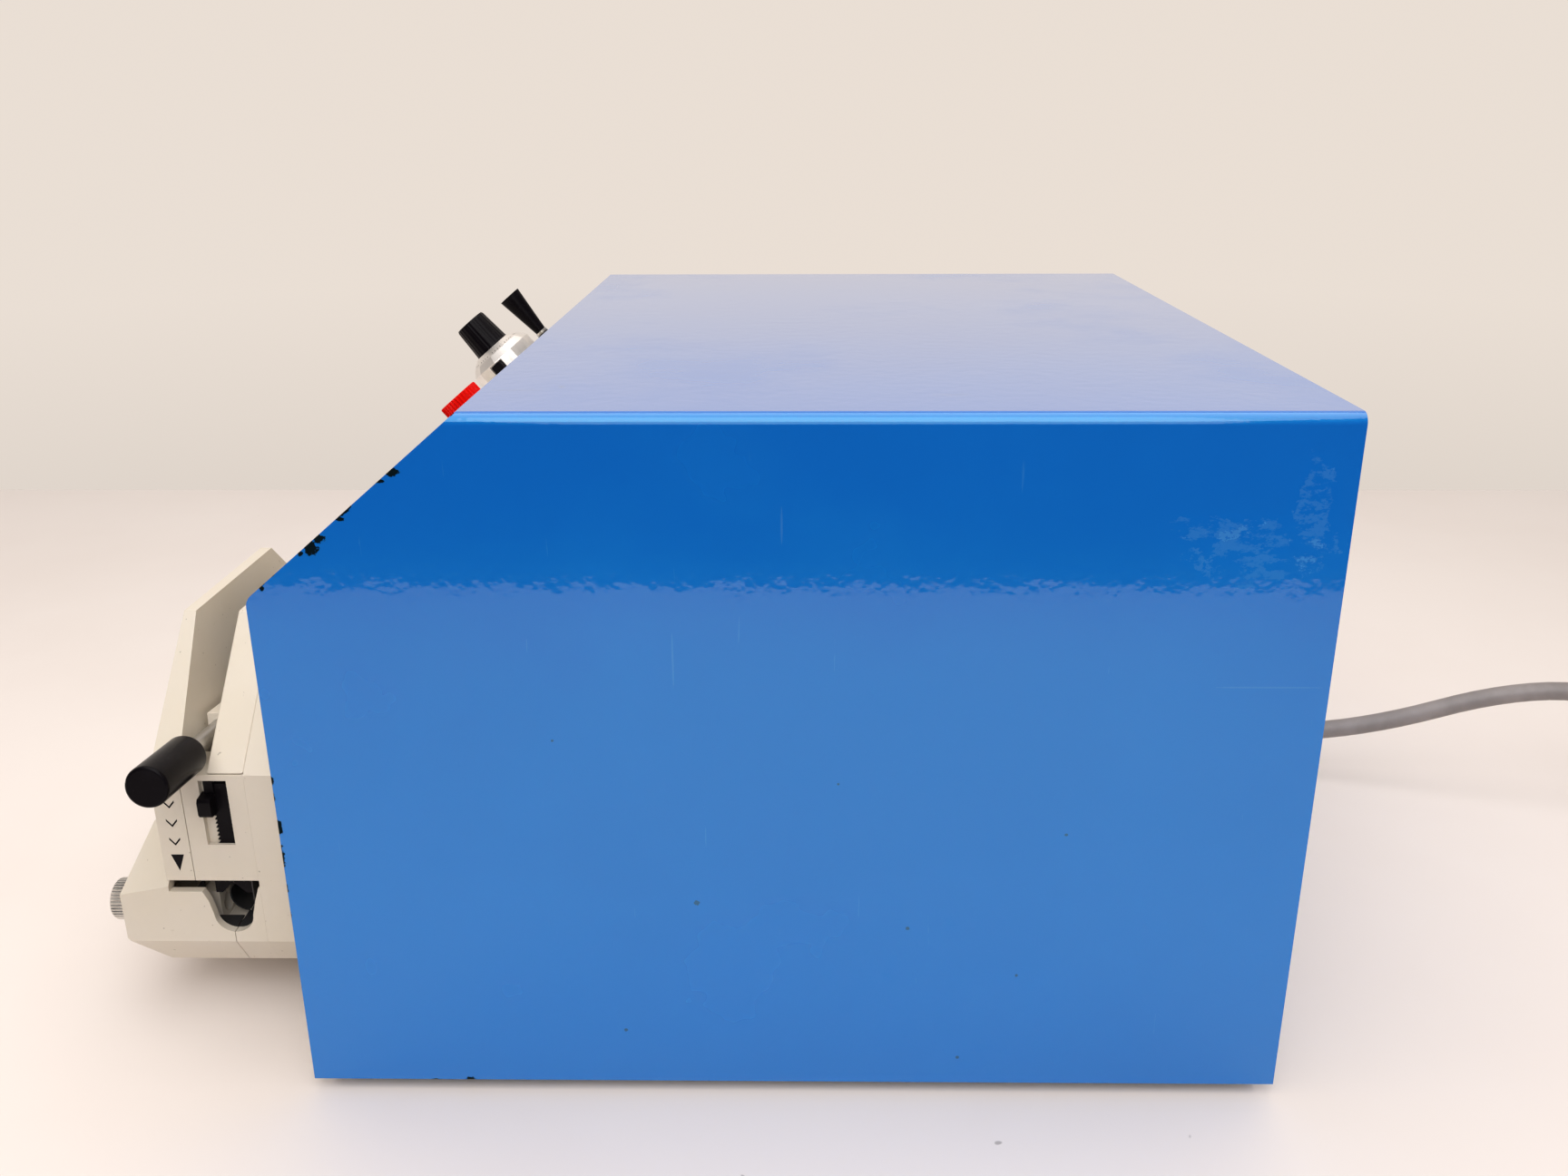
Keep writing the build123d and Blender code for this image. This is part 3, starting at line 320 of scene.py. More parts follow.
def blue_enamel(name):
    """Gloss stoved enamel: orange peel, faint clouding and scratches."""
    look = Look(name, (0.0, 0.118, 0.54), 0.20)
    look.mottle((0.001, 0.136, 0.58), 9.0, 0.6)
    look.bump(look.noise(230.0, 2.0), 0.00012, 0.30)
    look.shader.inputs["Specular IOR Level"].default_value = ENAMEL_SHINE
    look.shader.inputs["Specular Tint"].default_value = (0.05, 0.9, 1.0, 1)
    look.coat(0.62, 0.04)
    scratch = look.band(look.noise(60.0, 3.0, stretch=(1, 14, 0.7)), 0.745, 0.755)
    look.paint((0.04, 0.22, 0.58), look.math("MULTIPLY", scratch, 0.3))
    look.roughen(0.30, look.band(look.noise(14.0, 4.0), 0.5, 0.7))
    return look


# Marks on the cover's right side, in millimetres: (back, up), half lengths and, for chips, grain.
SIDE = 137.4
THROUGH = 5  # half depth of a mark, well past the thickness of the sheet
COVER_TOP = 187.5
SLOPE_RUN = (-132.5, -77.9)  # y of the slope's lower and upper edge
SLOPE_RISE = (141.4, 187.5)
CHIPS = [
    ((-114.9, 155.0), (1.7, 1.9), 620.0),
    ((-112.6, 157.2), (1.6, 1.0), 800.0),
    ((-117.6, 153.4), (0.7, 0.6), 1200.0),
    ((-106.9, 162.0), (1.0, 0.5), 1200.0),
    ((-93.4, 173.6), (1.5, 1.0), 900.0),
    ((-96.4, 171.4), (0.9, 0.5), 1200.0),
    ((-128.0, 144.6), (0.6, 0.7), 1200.0),
    ((-132.3, 92.3), (0.5, 1.4), 1200.0),
    ((-132.1, 79.0), (0.7, 2.4), 800.0),
    ((-132.3, 70.5), (0.5, 1.6), 1200.0),
    ((-88.9, 0.2), (1.0, 0.8), 1200.0),
]
SPECKS = [
    ((-24.8, 57.0), 0.75), ((30.7, 49.5), 0.55), ((60.1, 35.0), 0.45), ((70.6, 77.7), 0.4),
    ((-45.1, 16.8), 0.5), ((45.4, 8.4), 0.5), ((-60.0, 104.0), 0.35), ((12.0, 92.0), 0.35),
]
SCRATCHES = [
    ((-2.1, 160.4), (0.25, 4.6)), ((-29.0, 126.0), (0.22, 7.0)), ((117.5, 119.0), (13.0, 0.22)),
]
SMEARS = [
    ((112.0, 153.0), (15.0, 7.0)), ((122.5, 163.0), (4.0, 14.0)), ((100.0, 160.0), (9.0, 3.0)),
]
TOP_MARKS = [  # x, y and half lengths
    (-85.1, -25.7, 0.9, 0.7), (110.2, -68.5, 0.3, 7.0), (106.0, -58.0, 0.8, 0.8),
    (116.2, 39.5, 0.3, 4.5),
]


def worn_enamel(name):
    """The cover's enamel, with the chips, specks and smears of its right side and its top."""
    look = blue_enamel(name)
    for (back, up), (wide, tall) in SMEARS:
        smear = look.near(case(SIDE, back, up), Vector((THROUGH, wide, tall)) * MM, 0.5, 150.0)
        broken = look.band(look.noise(240.0, 5.0, stretch=(1, 0.6, 1.2), rough=0.75), 0.47, 0.56)
        mask = look.math("MULTIPLY", smear, look.math("MULTIPLY", broken, 0.17))
        look.paint((0.10, 0.30, 0.62), mask)
        look.roughen(0.5, mask)
    for (back, up), (wide, tall) in SCRATCHES:
        line = look.near(case(SIDE, back, up), Vector((THROUGH, wide, tall)) * MM, 0.15, 900.0)
        look.paint((0.06, 0.22, 0.56), look.math("MULTIPLY", line, 0.35))
    for (back, up), size in SPECKS:
        speck = look.near(case(SIDE, back, up), Vector((THROUGH, size, size)) * MM, 0.35, 1500.0)
        look.paint((0.004, 0.03, 0.10), look.math("MULTIPLY", speck, 0.85))
    for x, y, wide, deep in TOP_MARKS:
        mark = look.near(case(x, y, COVER_TOP), Vector((wide, deep, THROUGH)) * MM, 0.25, 900.0)
        look.paint((0.01, 0.05, 0.16), look.math("MULTIPLY", mark, 0.7))
    chips = [look.near(case(SIDE, back, up), Vector((THROUGH, wide, tall)) * MM, 0.55, grain)
             for (back, up), (wide, tall), grain in CHIPS]
    slope = Vector((0, SLOPE_RUN[1] - SLOPE_RUN[0], SLOPE_RISE[1] - SLOPE_RISE[0]))
    up_slope = slope.normalized()
    into_side = Vector((0, up_slope.z, -up_slope.y))
    start = case(SIDE, SLOPE_RUN[0], SLOPE_RISE[0])
    chips.append(look.along(start, up_slope, into_side, slope.length * MM, 0.0007, 170.0, 0.575))
    front = case(SIDE, SLOPE_RUN[0], 50.0)
    chips.append(look.along(front, (0, 0, 1), (0, 1, 0), 0.050, 0.0007, 230.0, 0.53))
    chips.append(look.along(case(SIDE, -100.0, 0.0), (0, 1, 0), (0, 0, 1), 0.022, 0.0009, 260.0, 0.55))
    bare = 0.0
    for chip in chips:
        look.paint((0.002, 0.003, 0.006), chip)
        look.roughen(0.6, chip)
        bare = look.math("MAXIMUM", bare, chip)
    look.links.new(look.math("SUBTRACT", 1.0, bare), look.shader.inputs["Coat Weight"])
    shine = look.math("SUBTRACT", ENAMEL_SHINE, look.math("MULTIPLY", bare, 0.8))
    look.links.new(shine, look.shader.inputs["Specular IOR Level"])
    return look


def cream_moulding(name):
    """Aged cream ABS: slight yellowing, grime in the grain, a few dark specks and smudges."""
    look = Look(name, (0.685, 0.625, 0.535), 0.38)
    look.mottle((0.67, 0.60, 0.48), 28.0, 0.5)
    look.mottle((0.64, 0.575, 0.48), 240.0, 0.12)
    look.bump(look.noise(900.0, 2.0), 0.00004, 0.25)
    look.shader.inputs["Subsurface Weight"].default_value = 0.04
    look.shader.inputs["Subsurface Radius"].default_value = (0.002, 0.0012, 0.0006)
    grime = look.band(look.noise(95.0, 5.0, rough=0.8), 0.66, 0.74)
    look.paint((0.36, 0.29, 0.20), look.math("MULTIPLY", grime, 0.30))
    speck = look.band(look.noise(620.0, 1.0), 0.765, 0.79)
    look.paint((0.25, 0.21, 0.16), look.math("MULTIPLY", speck, 0.6))
    return look


def panel_enamel(name):
    """Smooth cream enamel of the front panel."""
    look = Look(name, (0.70, 0.655, 0.55), 0.34)
    look.mottle((0.665, 0.615, 0.50), 14.0, 0.35)
    look.bump(look.noise(260.0, 2.0), 0.00008, 0.2)
    look.coat(0.4, 0.10)
    return look


def black_moulding(name, roughness, sheen=0.08):
    """Black plastic: faint clouding, fine grain and a little dust."""
    look = Look(name, (0.003, 0.0022, 0.0034), roughness)
    look.shader.inputs["Specular IOR Level"].default_value = sheen
    look.mottle((0.007, 0.006, 0.008), 90.0, 0.5)
    look.bump(look.noise(1500.0, 2.0), 0.00003, 0.25)
    dust = look.band(look.noise(1100.0, 2.0), 0.72, 0.78)
    look.paint((0.06, 0.055, 0.055), look.math("MULTIPLY", dust, 0.3))
    return look


def turned_metal(name, color, roughness, grain=(1, 1, 40)):
    """Machined or plated metal, its gloss streaked along the grain."""
    look = Look(name, color, roughness, metallic=1.0)
    look.roughen(min(1.0, roughness + 0.2), look.noise(240.0, 3.0, stretch=grain))
    look.mottle(tuple(0.72 * part for part in color), 60.0, 0.4)
    look.bump(look.noise(300.0, 2.0, stretch=grain), 0.00002, 0.3)
    return look


def matt_polymer(name, color, roughness):
    """Rubber or plain plastic: clouding and fine grain."""
    look = Look(name, color, roughness)
    look.mottle(tuple(1.5 * part for part in color), 70.0, 0.5)
    look.bump(look.noise(700.0, 3.0), 0.00005, 0.35)
    return look


def lens_plastic(name):
    """Deep red moulded lens."""
    look = Look(name, (0.72, 0.006, 0.003), 0.14)
    look.shader.inputs["Specular IOR Level"].default_value = 0.06
    look.shader.inputs["Subsurface Weight"].default_value = 0.15
    look.shader.inputs["Subsurface Radius"].default_value = (0.003, 0.0004, 0.0004)
    look.mottle((0.52, 0.005, 0.004), 320.0, 0.5)
    look.bump(look.noise(900.0, 2.0), 0.00003, 0.3)
    return look


def board_laminate(name):
    """Green circuit board with a grid of raised tracks."""
    look = Look(name, (0.02, 0.11, 0.035), 0.35)
    tracks = look.add("ShaderNodeTexBrick", look.place)
    tracks.inputs["Scale"].default_value = 220.0
    look.paint((0.05, 0.19, 0.06), look.math("MULTIPLY", tracks.outputs["Fac"], 0.8))
    look.bump(tracks.outputs["Fac"], 0.00005, 0.4)
    return look


def laminated_iron(name):
    """Stacked iron sheets, seen as fine lines."""
    look = Look(name, (0.16, 0.15, 0.15), 0.5, metallic=0.8)
    look.mottle((0.10, 0.08, 0.07), 50.0, 0.6)
    look.bump(look.noise(700.0, 1.0, stretch=(0.01, 2.0, 0.01)), 0.0001, 0.5)
    return look


def winding_tape(name):
    """Yellow tape round a coil, in faint ridges."""
    look = Look(name, (0.62, 0.45, 0.13), 0.35)
    look.mottle((0.45, 0.30, 0.07), 90.0, 0.6)
    look.bump(look.noise(400.0, 2.0, stretch=(0.1, 1, 1)), 0.0001, 0.5)
    return look


def make_looks():
    """One look for each material slot of the record."""
    steel = (0.56, 0.55, 0.53)
    looks = {
        "blue_paint": worn_enamel("blue_enamel"),
        "panel_paint": panel_enamel("panel_enamel"),
        "rear_paint": blue_enamel("rear_enamel"),
        "zinc_steel": turned_metal("zinc_plate", (0.50, 0.50, 0.47), 0.38, (1, 1, 1)),
        "foot_rubber": matt_polymer("foot_rubber", (0.018, 0.018, 0.019), 0.75),
        "screw_steel": turned_metal("screw_steel", steel, 0.28),
        "red_lens": lens_plastic("red_lens"),
        "black_plastic": black_moulding("black_plastic", 0.42),
        "black_gloss": black_moulding("black_gloss", 0.27, 0.07),
        "satin_chrome": turned_metal("satin_chrome", (0.93, 0.90, 0.87), 0.30, (1, 1, 1)),
        "dark_blue_plastic": matt_polymer("dark_blue_plastic", (0.02, 0.04, 0.12), 0.4),
        "switch_plastic": black_moulding("switch_plastic", 0.5),
        "nickel": turned_metal("nickel", (0.70, 0.67, 0.62), 0.2),
        "cream_plastic": cream_moulding("cream_plastic"),
        "spring_steel": turned_metal("spring_steel", steel, 0.3),
        "grey_plastic": matt_polymer("grey_plastic", (0.20, 0.20, 0.20), 0.45),
        "roller_nylon": matt_polymer("roller_nylon", (0.60, 0.58, 0.52), 0.4),
        "bearing_steel": turned_metal("bearing_steel", (0.62, 0.61, 0.60), 0.18),
        "gear_brass": turned_metal("gear_brass", (0.72, 0.50, 0.20), 0.3),
        "plate_aluminium": turned_metal("plate_aluminium", (0.72, 0.72, 0.72), 0.35, (1, 30, 1)),
        "motor_steel": turned_metal("motor_steel", (0.40, 0.40, 0.41), 0.35),
        "core_iron": laminated_iron("core_iron"),
        "coil_tape": winding_tape("coil_tape"),
        "board_green": board_laminate("board_laminate"),
        "chip_black": black_moulding("chip_black", 0.5),
        "terminal_white": matt_polymer("terminal_white", (0.68, 0.66, 0.60), 0.4),
        "fuse_glass": turned_metal("fuse_metal", (0.6, 0.6, 0.6), 0.2),
        "black_rubber": matt_polymer("gland_rubber", (0.02, 0.02, 0.021), 0.5),
        "grey_pvc": matt_polymer("grey_pvc", (0.215, 0.19, 0.182), 0.42),
        "plug_pvc": matt_polymer("plug_pvc", (0.03, 0.03, 0.032), 0.42),
    }
    return {slot: look.material for slot, look in looks.items()}


# ------------------------------------------------------------------ meshes

SEAM = 1e-6  # metres between vertices that are one
FLAT_ANGLE = 0.6  # degrees between faces that are one
SHARP_ANGLE = 32.0  # degrees from which an edge is rounded
DIAL_JOINT_UP = 15  # millimetres of the dial's joint above the panel


def soften(obj, width):
    """Round the sharp edges: weld the seams, drop the flat faces' inner edges, bevel what is left."""
    weld = obj.modifiers.new("weld", "WELD")
    weld.merge_threshold = SEAM
    flat = obj.modifiers.new("flat", "DECIMATE")
    flat.decimate_type = "DISSOLVE"
    flat.angle_limit = math.radians(FLAT_ANGLE)
    bevel = obj.modifiers.new("bevel", "BEVEL")
    bevel.width = width * MM
    bevel.segments = 2
    bevel.limit_method = "ANGLE"
    bevel.angle_limit = math.radians(SHARP_ANGLE)
    bevel.miter_outer = "MITER_ARC"
    shade = obj.modifiers.new("shade", "WEIGHTED_NORMAL")
    shade.keep_sharp = False


def finish_mesh(name, bm, material, body, smooth=40.0):
    """Make the piece: smooth below the given angle in degrees, with its material and body."""
    bmesh.ops.remove_doubles(bm, verts=bm.verts, dist=1e-7)
    bmesh.ops.recalc_face_normals(bm, faces=bm.faces)
    for face in bm.faces:
        face.smooth = True
    for edge in bm.edges:
        edge.smooth = edge.calc_face_angle(0) < math.radians(smooth)
    mesh = bpy.data.meshes.new(name)
    bm.to_mesh(mesh)
    bm.free()
    piece = bpy.data.objects.new(name, mesh)
    bpy.context.scene.collection.objects.link(piece)
    mesh.materials.append(material)
    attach(piece, body)
    return piece


def axis_place(point, axis, lead):
    """Local frame with Z along axis and X towards lead."""
    z = Vector(axis).normalized()
    x = (Vector(lead) - z * Vector(lead).dot(z)).normalized()
    turn = Matrix((x, z.cross(x), z)).transposed()
    return Matrix.Translation(point) @ turn.to_4x4()


def turned(bm, place, rings, steps, ripple=None, closed=False):
    """Faces of a turned shape. rings are (radius, height, ripple depth) in millimetres."""
    loops = []
    for radius, height, depth in rings:
        loop = []
        for step in range(steps):
            angle = 2 * math.pi * step / steps
            r = radius - (depth * ripple(angle) if ripple else 0)
            spot = Vector((r * math.cos(angle), r * math.sin(angle), height)) * MM
            loop.append(bm.verts.new(place @ spot))
        loops.append(loop)
    pairs = list(zip(loops, loops[1:]))
    if closed:
        pairs.append((loops[-1], loops[0]))
    for low, high in pairs:
        for step in range(steps):
            after = (step + 1) % steps
            bm.faces.new((low[step], low[after], high[after], high[step]))
    if not closed:
        bm.faces.new(list(reversed(loops[0])))
        bm.faces.new(loops[-1])


def panel_place(x):
    """Local frame on the sloping panel: Z out of it, X to the right, in line with the dial."""
    dial = JOINTS["dial_turn"]
    normal = Vector(dial["axis"])
    point = Vector(dial["pos_m"]) - normal * DIAL_JOINT_UP * MM
    point.x = x
    return axis_place(point, normal, (1, 0, 0))


def middle(node):
    """Middle of a CAD node's box."""
    low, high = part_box(node)
    return (low + high) / 2


def flutes(count, sharp=1.0):
    """Straight flutes: 0 on each crest, 1 in each groove."""
    return lambda angle: abs(math.sin(count * angle / 2)) ** sharp


def flats_of(count):
    """Depth pattern that turns a circle into a polygon: 0 at its corners, 1 mid-side."""
    half = math.pi / count
    full = 1 - math.cos(half)

    def inset(angle):
        near = abs((angle % (2 * half)) - half)
        return (1 - math.cos(half) / math.cos(near)) / full

    return inset


def add_box(bm, corners):
    """Box from its eight corners, in the order of nested loops over x, y and z."""
    verts = [bm.verts.new(corner) for corner in corners]
    for face in ((0, 1, 3, 2), (4, 6, 7, 5), (0, 4, 5, 1), (2, 3, 7, 6), (0, 2, 6, 4), (1, 5, 7, 3)):
        bm.faces.new([verts[i] for i in face])


def cutter(name, place, x, y, z):
    """Box to cut with, from its spans in millimetres."""
    bm = bmesh.new()
    add_box(bm, [place @ (Vector((a, b, c)) * MM) for a in x for b in y for c in z])
    bmesh.ops.recalc_face_normals(bm, faces=bm.faces)
    mesh = bpy.data.meshes.new(name)
    bm.to_mesh(mesh)
    bm.free()
    tool = bpy.data.objects.new(name, mesh)
    bpy.context.scene.collection.objects.link(tool)
    return tool


def apply_modifiers(obj):
    """Replace the mesh by its evaluated one and drop the modifiers."""
    depsgraph = bpy.context.evaluated_depsgraph_get()
    mesh = bpy.data.meshes.new_from_object(obj.evaluated_get(depsgraph))
    obj.modifiers.clear()
    obj.data = mesh


# ------------------------------------------------------------------ controls

LENS_FLUTES = 36
KNOB_FLUTES = 24
DIAL_SIDES = 10
DIAL_WINDOW = ((9.6, 13.5), (-2.65, 2.65), (2.65, 7.05))  # the hole in the ring's right side
DIAL_TICKS = 50
TICK_LENGTHS = (1.1, 0.6)  # of every fifth tick, and of the rest
TICK_HALF_WIDTH = 0.09


def make_lens(looks):
    """Jewel lens: straight flutes right up its side and a flat face with concentric steps."""
    bm = bmesh.new()
    place = panel_place(middle("lamp_lens").x)
    rings = [(5.1, 1.1, 0), (5.1, 0.0, 0), (6.4, 0.0, 0), (6.55, 0.15, 0), (6.55, 0.75, 0)]
    rings += [(6.1, 0.85, 0), (6.75, 1.0, 0.55), (6.78, 6.55, 0.55), (6.6, 6.9, 0.4), (6.2, 7.0, 0.1)]
    rings += [(5.4, 7.0, 0), (5.3, 6.75, 0), (3.9, 6.95, 0), (3.8, 6.7, 0), (2.2, 6.95, 0)]
    rings += [(2.1, 6.75, 0), (0.2, 6.98, 0)]
    turned(bm, place, rings, LENS_FLUTES * 6, flutes(LENS_FLUTES))
    piece = finish_mesh("lens_jewel", bm, looks["red_lens"], "case", 28)
    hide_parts("lamp_lens")


def make_dial(looks):
    """Turns-counting dial: faceted satin ring, scale round its neck, tapered knob."""
    place = panel_place(JOINTS["dial_turn"]["pos_m"][0])
    bm = bmesh.new()
    rings = [(4.85, 0.0, 0), (11.8, 0.0, 0), (12.25, 0.5, 0.4), (12.25, 7.45, 0.42)]
    rings += [(10.2, 9.85, 0.35), (7.3, 11.95, 0.1), (6.85, 11.95, 0), (6.85, 10.75, 0)]
    rings += [(3.45, 10.75, 0), (3.45, 1.35, 0), (4.85, 1.35, 0)]
    turned(bm, place, rings, DIAL_SIDES * 14, flats_of(DIAL_SIDES), closed=True)
    ring = finish_mesh("dial_ring", bm, looks["satin_chrome"], "case", 12)
    window = cutter("dial_window", place, *DIAL_WINDOW)
    cut = ring.modifiers.new("window", "BOOLEAN")
    cut.object = window
    apply_modifiers(ring)
    bpy.data.objects.remove(window)
    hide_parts("dial_body")

    bm = bmesh.new()
    rings = [(3.2, 11.2, 0), (3.2, 10.95, 0), (6.55, 10.95, 0), (6.6, 11.1, 0), (6.6, 12.0, 0)]
    rings += [(6.5, 12.2, 0.0), (6.42, 12.9, 0.14), (5.72, 22.7, 0.14), (5.6, 23.1, 0.05)]
    rings += [(5.35, 23.5, 0), (4.7, 23.58, 0), (4.6, 23.4, 0), (0.3, 23.4, 0)]
    turned(bm, place, rings, KNOB_FLUTES * 8, flutes(KNOB_FLUTES, 3.0))
    knob = finish_mesh("dial_grip", bm, looks["black_gloss"], "dial", 35)
    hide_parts("dial_knob")
    dial_scale(place, looks)


def dial_scale(place, looks):
    """Fine ticks round the ring's cone, every fifth one longer."""
    bm = bmesh.new()
    low = Vector((10.02, 0, 9.93))
    along = (Vector((7.3, 0, 11.95)) - low).normalized()
    width = Vector((0, TICK_HALF_WIDTH, 0))
    for tick in range(DIAL_TICKS):
        length = TICK_LENGTHS[0] if tick % 5 == 0 else TICK_LENGTHS[1]
        turn = place @ Matrix.Rotation(2 * math.pi * tick / DIAL_TICKS, 4, "Z")
        ends = [low + along * 0.5, low + along * (0.5 + length)]
        quad = [ends[0] - width, ends[0] + width, ends[1] + width, ends[1] - width]
        bm.faces.new([bm.verts.new(turn @ (corner * MM)) for corner in quad])
    finish_mesh("dial_ticks", bm, looks["black_plastic"], "case")


def make_toggle_collar(looks):
    """Plated collar where the toggle's bat meets its stem."""
    bm = bmesh.new()
    rings = [(2.05, 3.5, 0), (2.35, 3.5, 0), (2.45, 3.65, 0)]
    rings += [(2.45, 5.3, 0), (2.3, 5.4, 0), (2.05, 5.4, 0)]
    turned(bm, panel_place(middle("toggle_lever").x), rings, 48, closed=True)
    finish_mesh("toggle_collar", bm, looks["nickel"], "toggle", 40)


# ------------------------------------------------------------------ pump head

HEAD_LENGTH = 8.6  # of the thumb screw
HEAD_FLUTES = 40
SHADE_LINER_END = 93.9  # x of the outer end of the painted-shade liner in the port, behind the clamp's jaw
SHADE_LINER_LENGTH = 14.0
SHADE_LINER_RADII = (5.15, 5.6)
SHADE_LINER_STEPS = 12
FIXED_ARC = (-87, 42)  # degrees from the back through up: the case's part of the liner
GUARD_ARC = (125, 267)
PORT_AT = (-163.6, 31.4)  # y and z of the tube ports
JAW_POCKET = (94.1, 102.5)  # x span of the pocket under the right clamp
GUARD_POCKET = (96.8, 102.5)  # the guard's half of it, past the lug that takes the thumb screw


def make_thumb_screw(looks):
    """Knurled head with a turned shank."""
    low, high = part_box("thumb_screw")
    joint = JOINTS["screw_turn"]
    start = Vector((joint["pos_m"][0], high.y, joint["pos_m"][2]))
    place = axis_place(start, joint["axis"], (1, 0, 0))
    length = (high.y - low.y) / MM
    shank = length - HEAD_LENGTH
    bm = bmesh.new()
    rings = [(1.8, 0.1, 0), (2.9, 1.0, 0), (2.95, shank - 0.3, 0), (2.6, shank, 0)]
    rings += [(5.6, shank + 0.02, 0), (6.1, shank + 0.5, 0), (6.28, shank + 0.8, 0.38)]
    rings += [(6.28, length - 1.3, 0.38), (6.0, length - 0.7, 0.1), (5.4, length - 0.2, 0)]
    rings += [(4.4, length - 0.05, 0), (0.4, length - 0.05, 0)]
    turned(bm, place, rings, HEAD_FLUTES * 6, flutes(HEAD_FLUTES, 0.8))
    screw = finish_mesh("screw_knurled", bm, looks["nickel"], "thumb_screw", 40)
    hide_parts("thumb_screw")


def make_port_shade_liner(name, body, arc, looks):
    """Part of the black sleeve inside the right tube port, over an arc in degrees. It is painted shade: it darkens
    the port as its deep shade and black jaw parts do.
    """
    start, end = arc
    inner = []
    outer = []
    bm = bmesh.new()
    for step in range(SHADE_LINER_STEPS + 1):
        angle = math.radians(start + (end - start) * step / SHADE_LINER_STEPS)
        along = Vector((0, math.cos(angle), math.sin(angle)))
        for ring, radius in zip((inner, outer), SHADE_LINER_RADII):
            near = case(SHADE_LINER_END, *PORT_AT) + along * radius * MM
            far = near - Vector((SHADE_LINER_LENGTH, 0, 0)) * MM
            ring.append((bm.verts.new(near), bm.verts.new(far)))
    for ring in (inner, outer):
        for first, second in zip(ring, ring[1:]):
            bm.faces.new((first[0], second[0], second[1], first[1]))
    for side in (0, 1):
        for step in range(SHADE_LINER_STEPS):
            after = step + 1
            bm.faces.new((inner[step][side], inner[after][side], outer[after][side], outer[step][side]))
    for step in (0, SHADE_LINER_STEPS):
        bm.faces.new((inner[step][0], inner[step][1], outer[step][1], outer[step][0]))
    finish_mesh(name, bm, looks["black_rubber"], body, 40)


def make_jaw_shade_pad(name, body, span, sheets, looks):
    """Thin black sheets on the walls of the pocket under the right clamp's jaw. They are painted shade: they stand
    for the pocket's deep shade and its black jaw parts.

    span is in x; each sheet has its spans in y and z.
    """
    bm = bmesh.new()
    for (front, back), (low, high) in sheets:
        corners = [case(x, y, z) for x in span for y in (front, back) for z in (low, high)]
        add_box(bm, corners)
    finish_mesh(name, bm, looks["black_rubber"], body, 40)


def darken_port(looks):
    """Black lining of the right port and its pocket, part on the case and part on the guard. It paints the deep
    shade there, and the black jaw parts.
    """
    make_port_shade_liner("port_shade_liner_fixed", "case", FIXED_ARC, looks)
    make_port_shade_liner("port_shade_liner_guard", "guard", GUARD_ARC, looks)
    fixed = [((-163.85, -157.9), (25.75, 26.1)), ((-158.15, -157.85), (26.2, 42.8))]
    swung = [((-174.8, -164.25), (25.75, 26.1)), ((-174.9, -174.6), (26.2, 38.5))]
    make_jaw_shade_pad("jaw_shade_pad_fixed", "case", JAW_POCKET, fixed, looks)
    make_jaw_shade_pad("jaw_shade_pad_guard", "guard", GUARD_POCKET, swung, looks)


# ------------------------------------------------------------------ flex

CORD_DIAMETER = 0.007
ROUTE = [  # from inside the case, out through the gland, to the coil
    (-60.0, 125.0, 20.0), (-60.0, 166.0, 20.0), (-57.5, 196.0, 12.5), (-49.0, 233.0, 21.0),
    (-40.5, 274.0, 39.0), (-32.0, 307.0, 43.5), (-23.0, 336.0, 32.0), (-16.0, 361.0, 12.0),
]
GLAND_FACE = 129.0  # the rear panel's outer face, where the flex leaves the case
COIL_AT = (-60.0, 385.0)
COIL_RADII = (45.5, 38.5, 31.5, 31.5, 38.5, 45.5)
COIL_PITCH = 7.0  # between turns side by side, and between the two layers
COIL_LOW = 0.3
COIL_TURNS = 5.2
TURN_POINTS = 20
STEP_IN = (0.68, 1.0)  # share of an upper turn over which it moves inwards
STEP_OUT = (0.15, 0.50)  # and of a lower turn, outwards
STEP_DOWN = (2.36, 2.64)  # turns between which the flex drops to the lower layer
TAIL = [  # from the coil to the plug
    (-57.0, 432.0, 6.4), (-68.0, 435.5, 7.4), (-77.0, 437.2, 7.7), (-86.0, 437.5, 7.7),
]


def eased(value, start, end):
    """0 before start, 1 after end, and smooth between them."""
    share = min(1.0, max(0.0, (value - start) / (end - start)))
    return share * share * (3 - 2 * share)


def coil_point(turns):
    """Middle of the flex after so many turns: three inwards on top, then three outwards below."""
    index = int(turns)
    radius = COIL_RADII[index]
    if index < 2:
        radius -= COIL_PITCH * eased(turns - index, *STEP_IN)
    elif index > 2:
        radius += COIL_PITCH * eased(turns - index, *STEP_OUT)
    height = COIL_LOW + COIL_PITCH * (1 - eased(turns, *STEP_DOWN))
    angle = 2 * math.pi * turns
    return (COIL_AT[0] + radius * math.cos(angle), COIL_AT[1] + radius * math.sin(angle), height)


def cord_points():
    """The flex's middle line, from inside the case to the plug."""
    count = int(COIL_TURNS * TURN_POINTS)
    coil = [coil_point(COIL_TURNS * step / count) for step in range(count + 1)]
    return [case(*point) for point in ROUTE + coil + TAIL]


def make_cord(looks):
    """The whole mains flex as one round spline."""
    curve = bpy.data.curves.new("mains_flex", "CURVE")
    curve.dimensions = "3D"
    spline = curve.splines.new("NURBS")
    points = cord_points()
    spline.points.add(len(points) - 1)
    for point, at in zip(spline.points, points):
        point.co = (*at, 1)
    spline.order_u = 3
    spline.use_endpoint_u = True
    spline.resolution_u = 6
    curve.bevel_depth = CORD_DIAMETER / 2
    curve.bevel_resolution = 6
    curve.use_fill_caps = True
    curve.materials.append(looks["grey_pvc"])
    flex = bpy.data.objects.new("mains_flex", curve)
    bpy.context.scene.collection.objects.link(flex)
    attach(flex, "case")
    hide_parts("mains_cord", "cord_coil")
    return flex


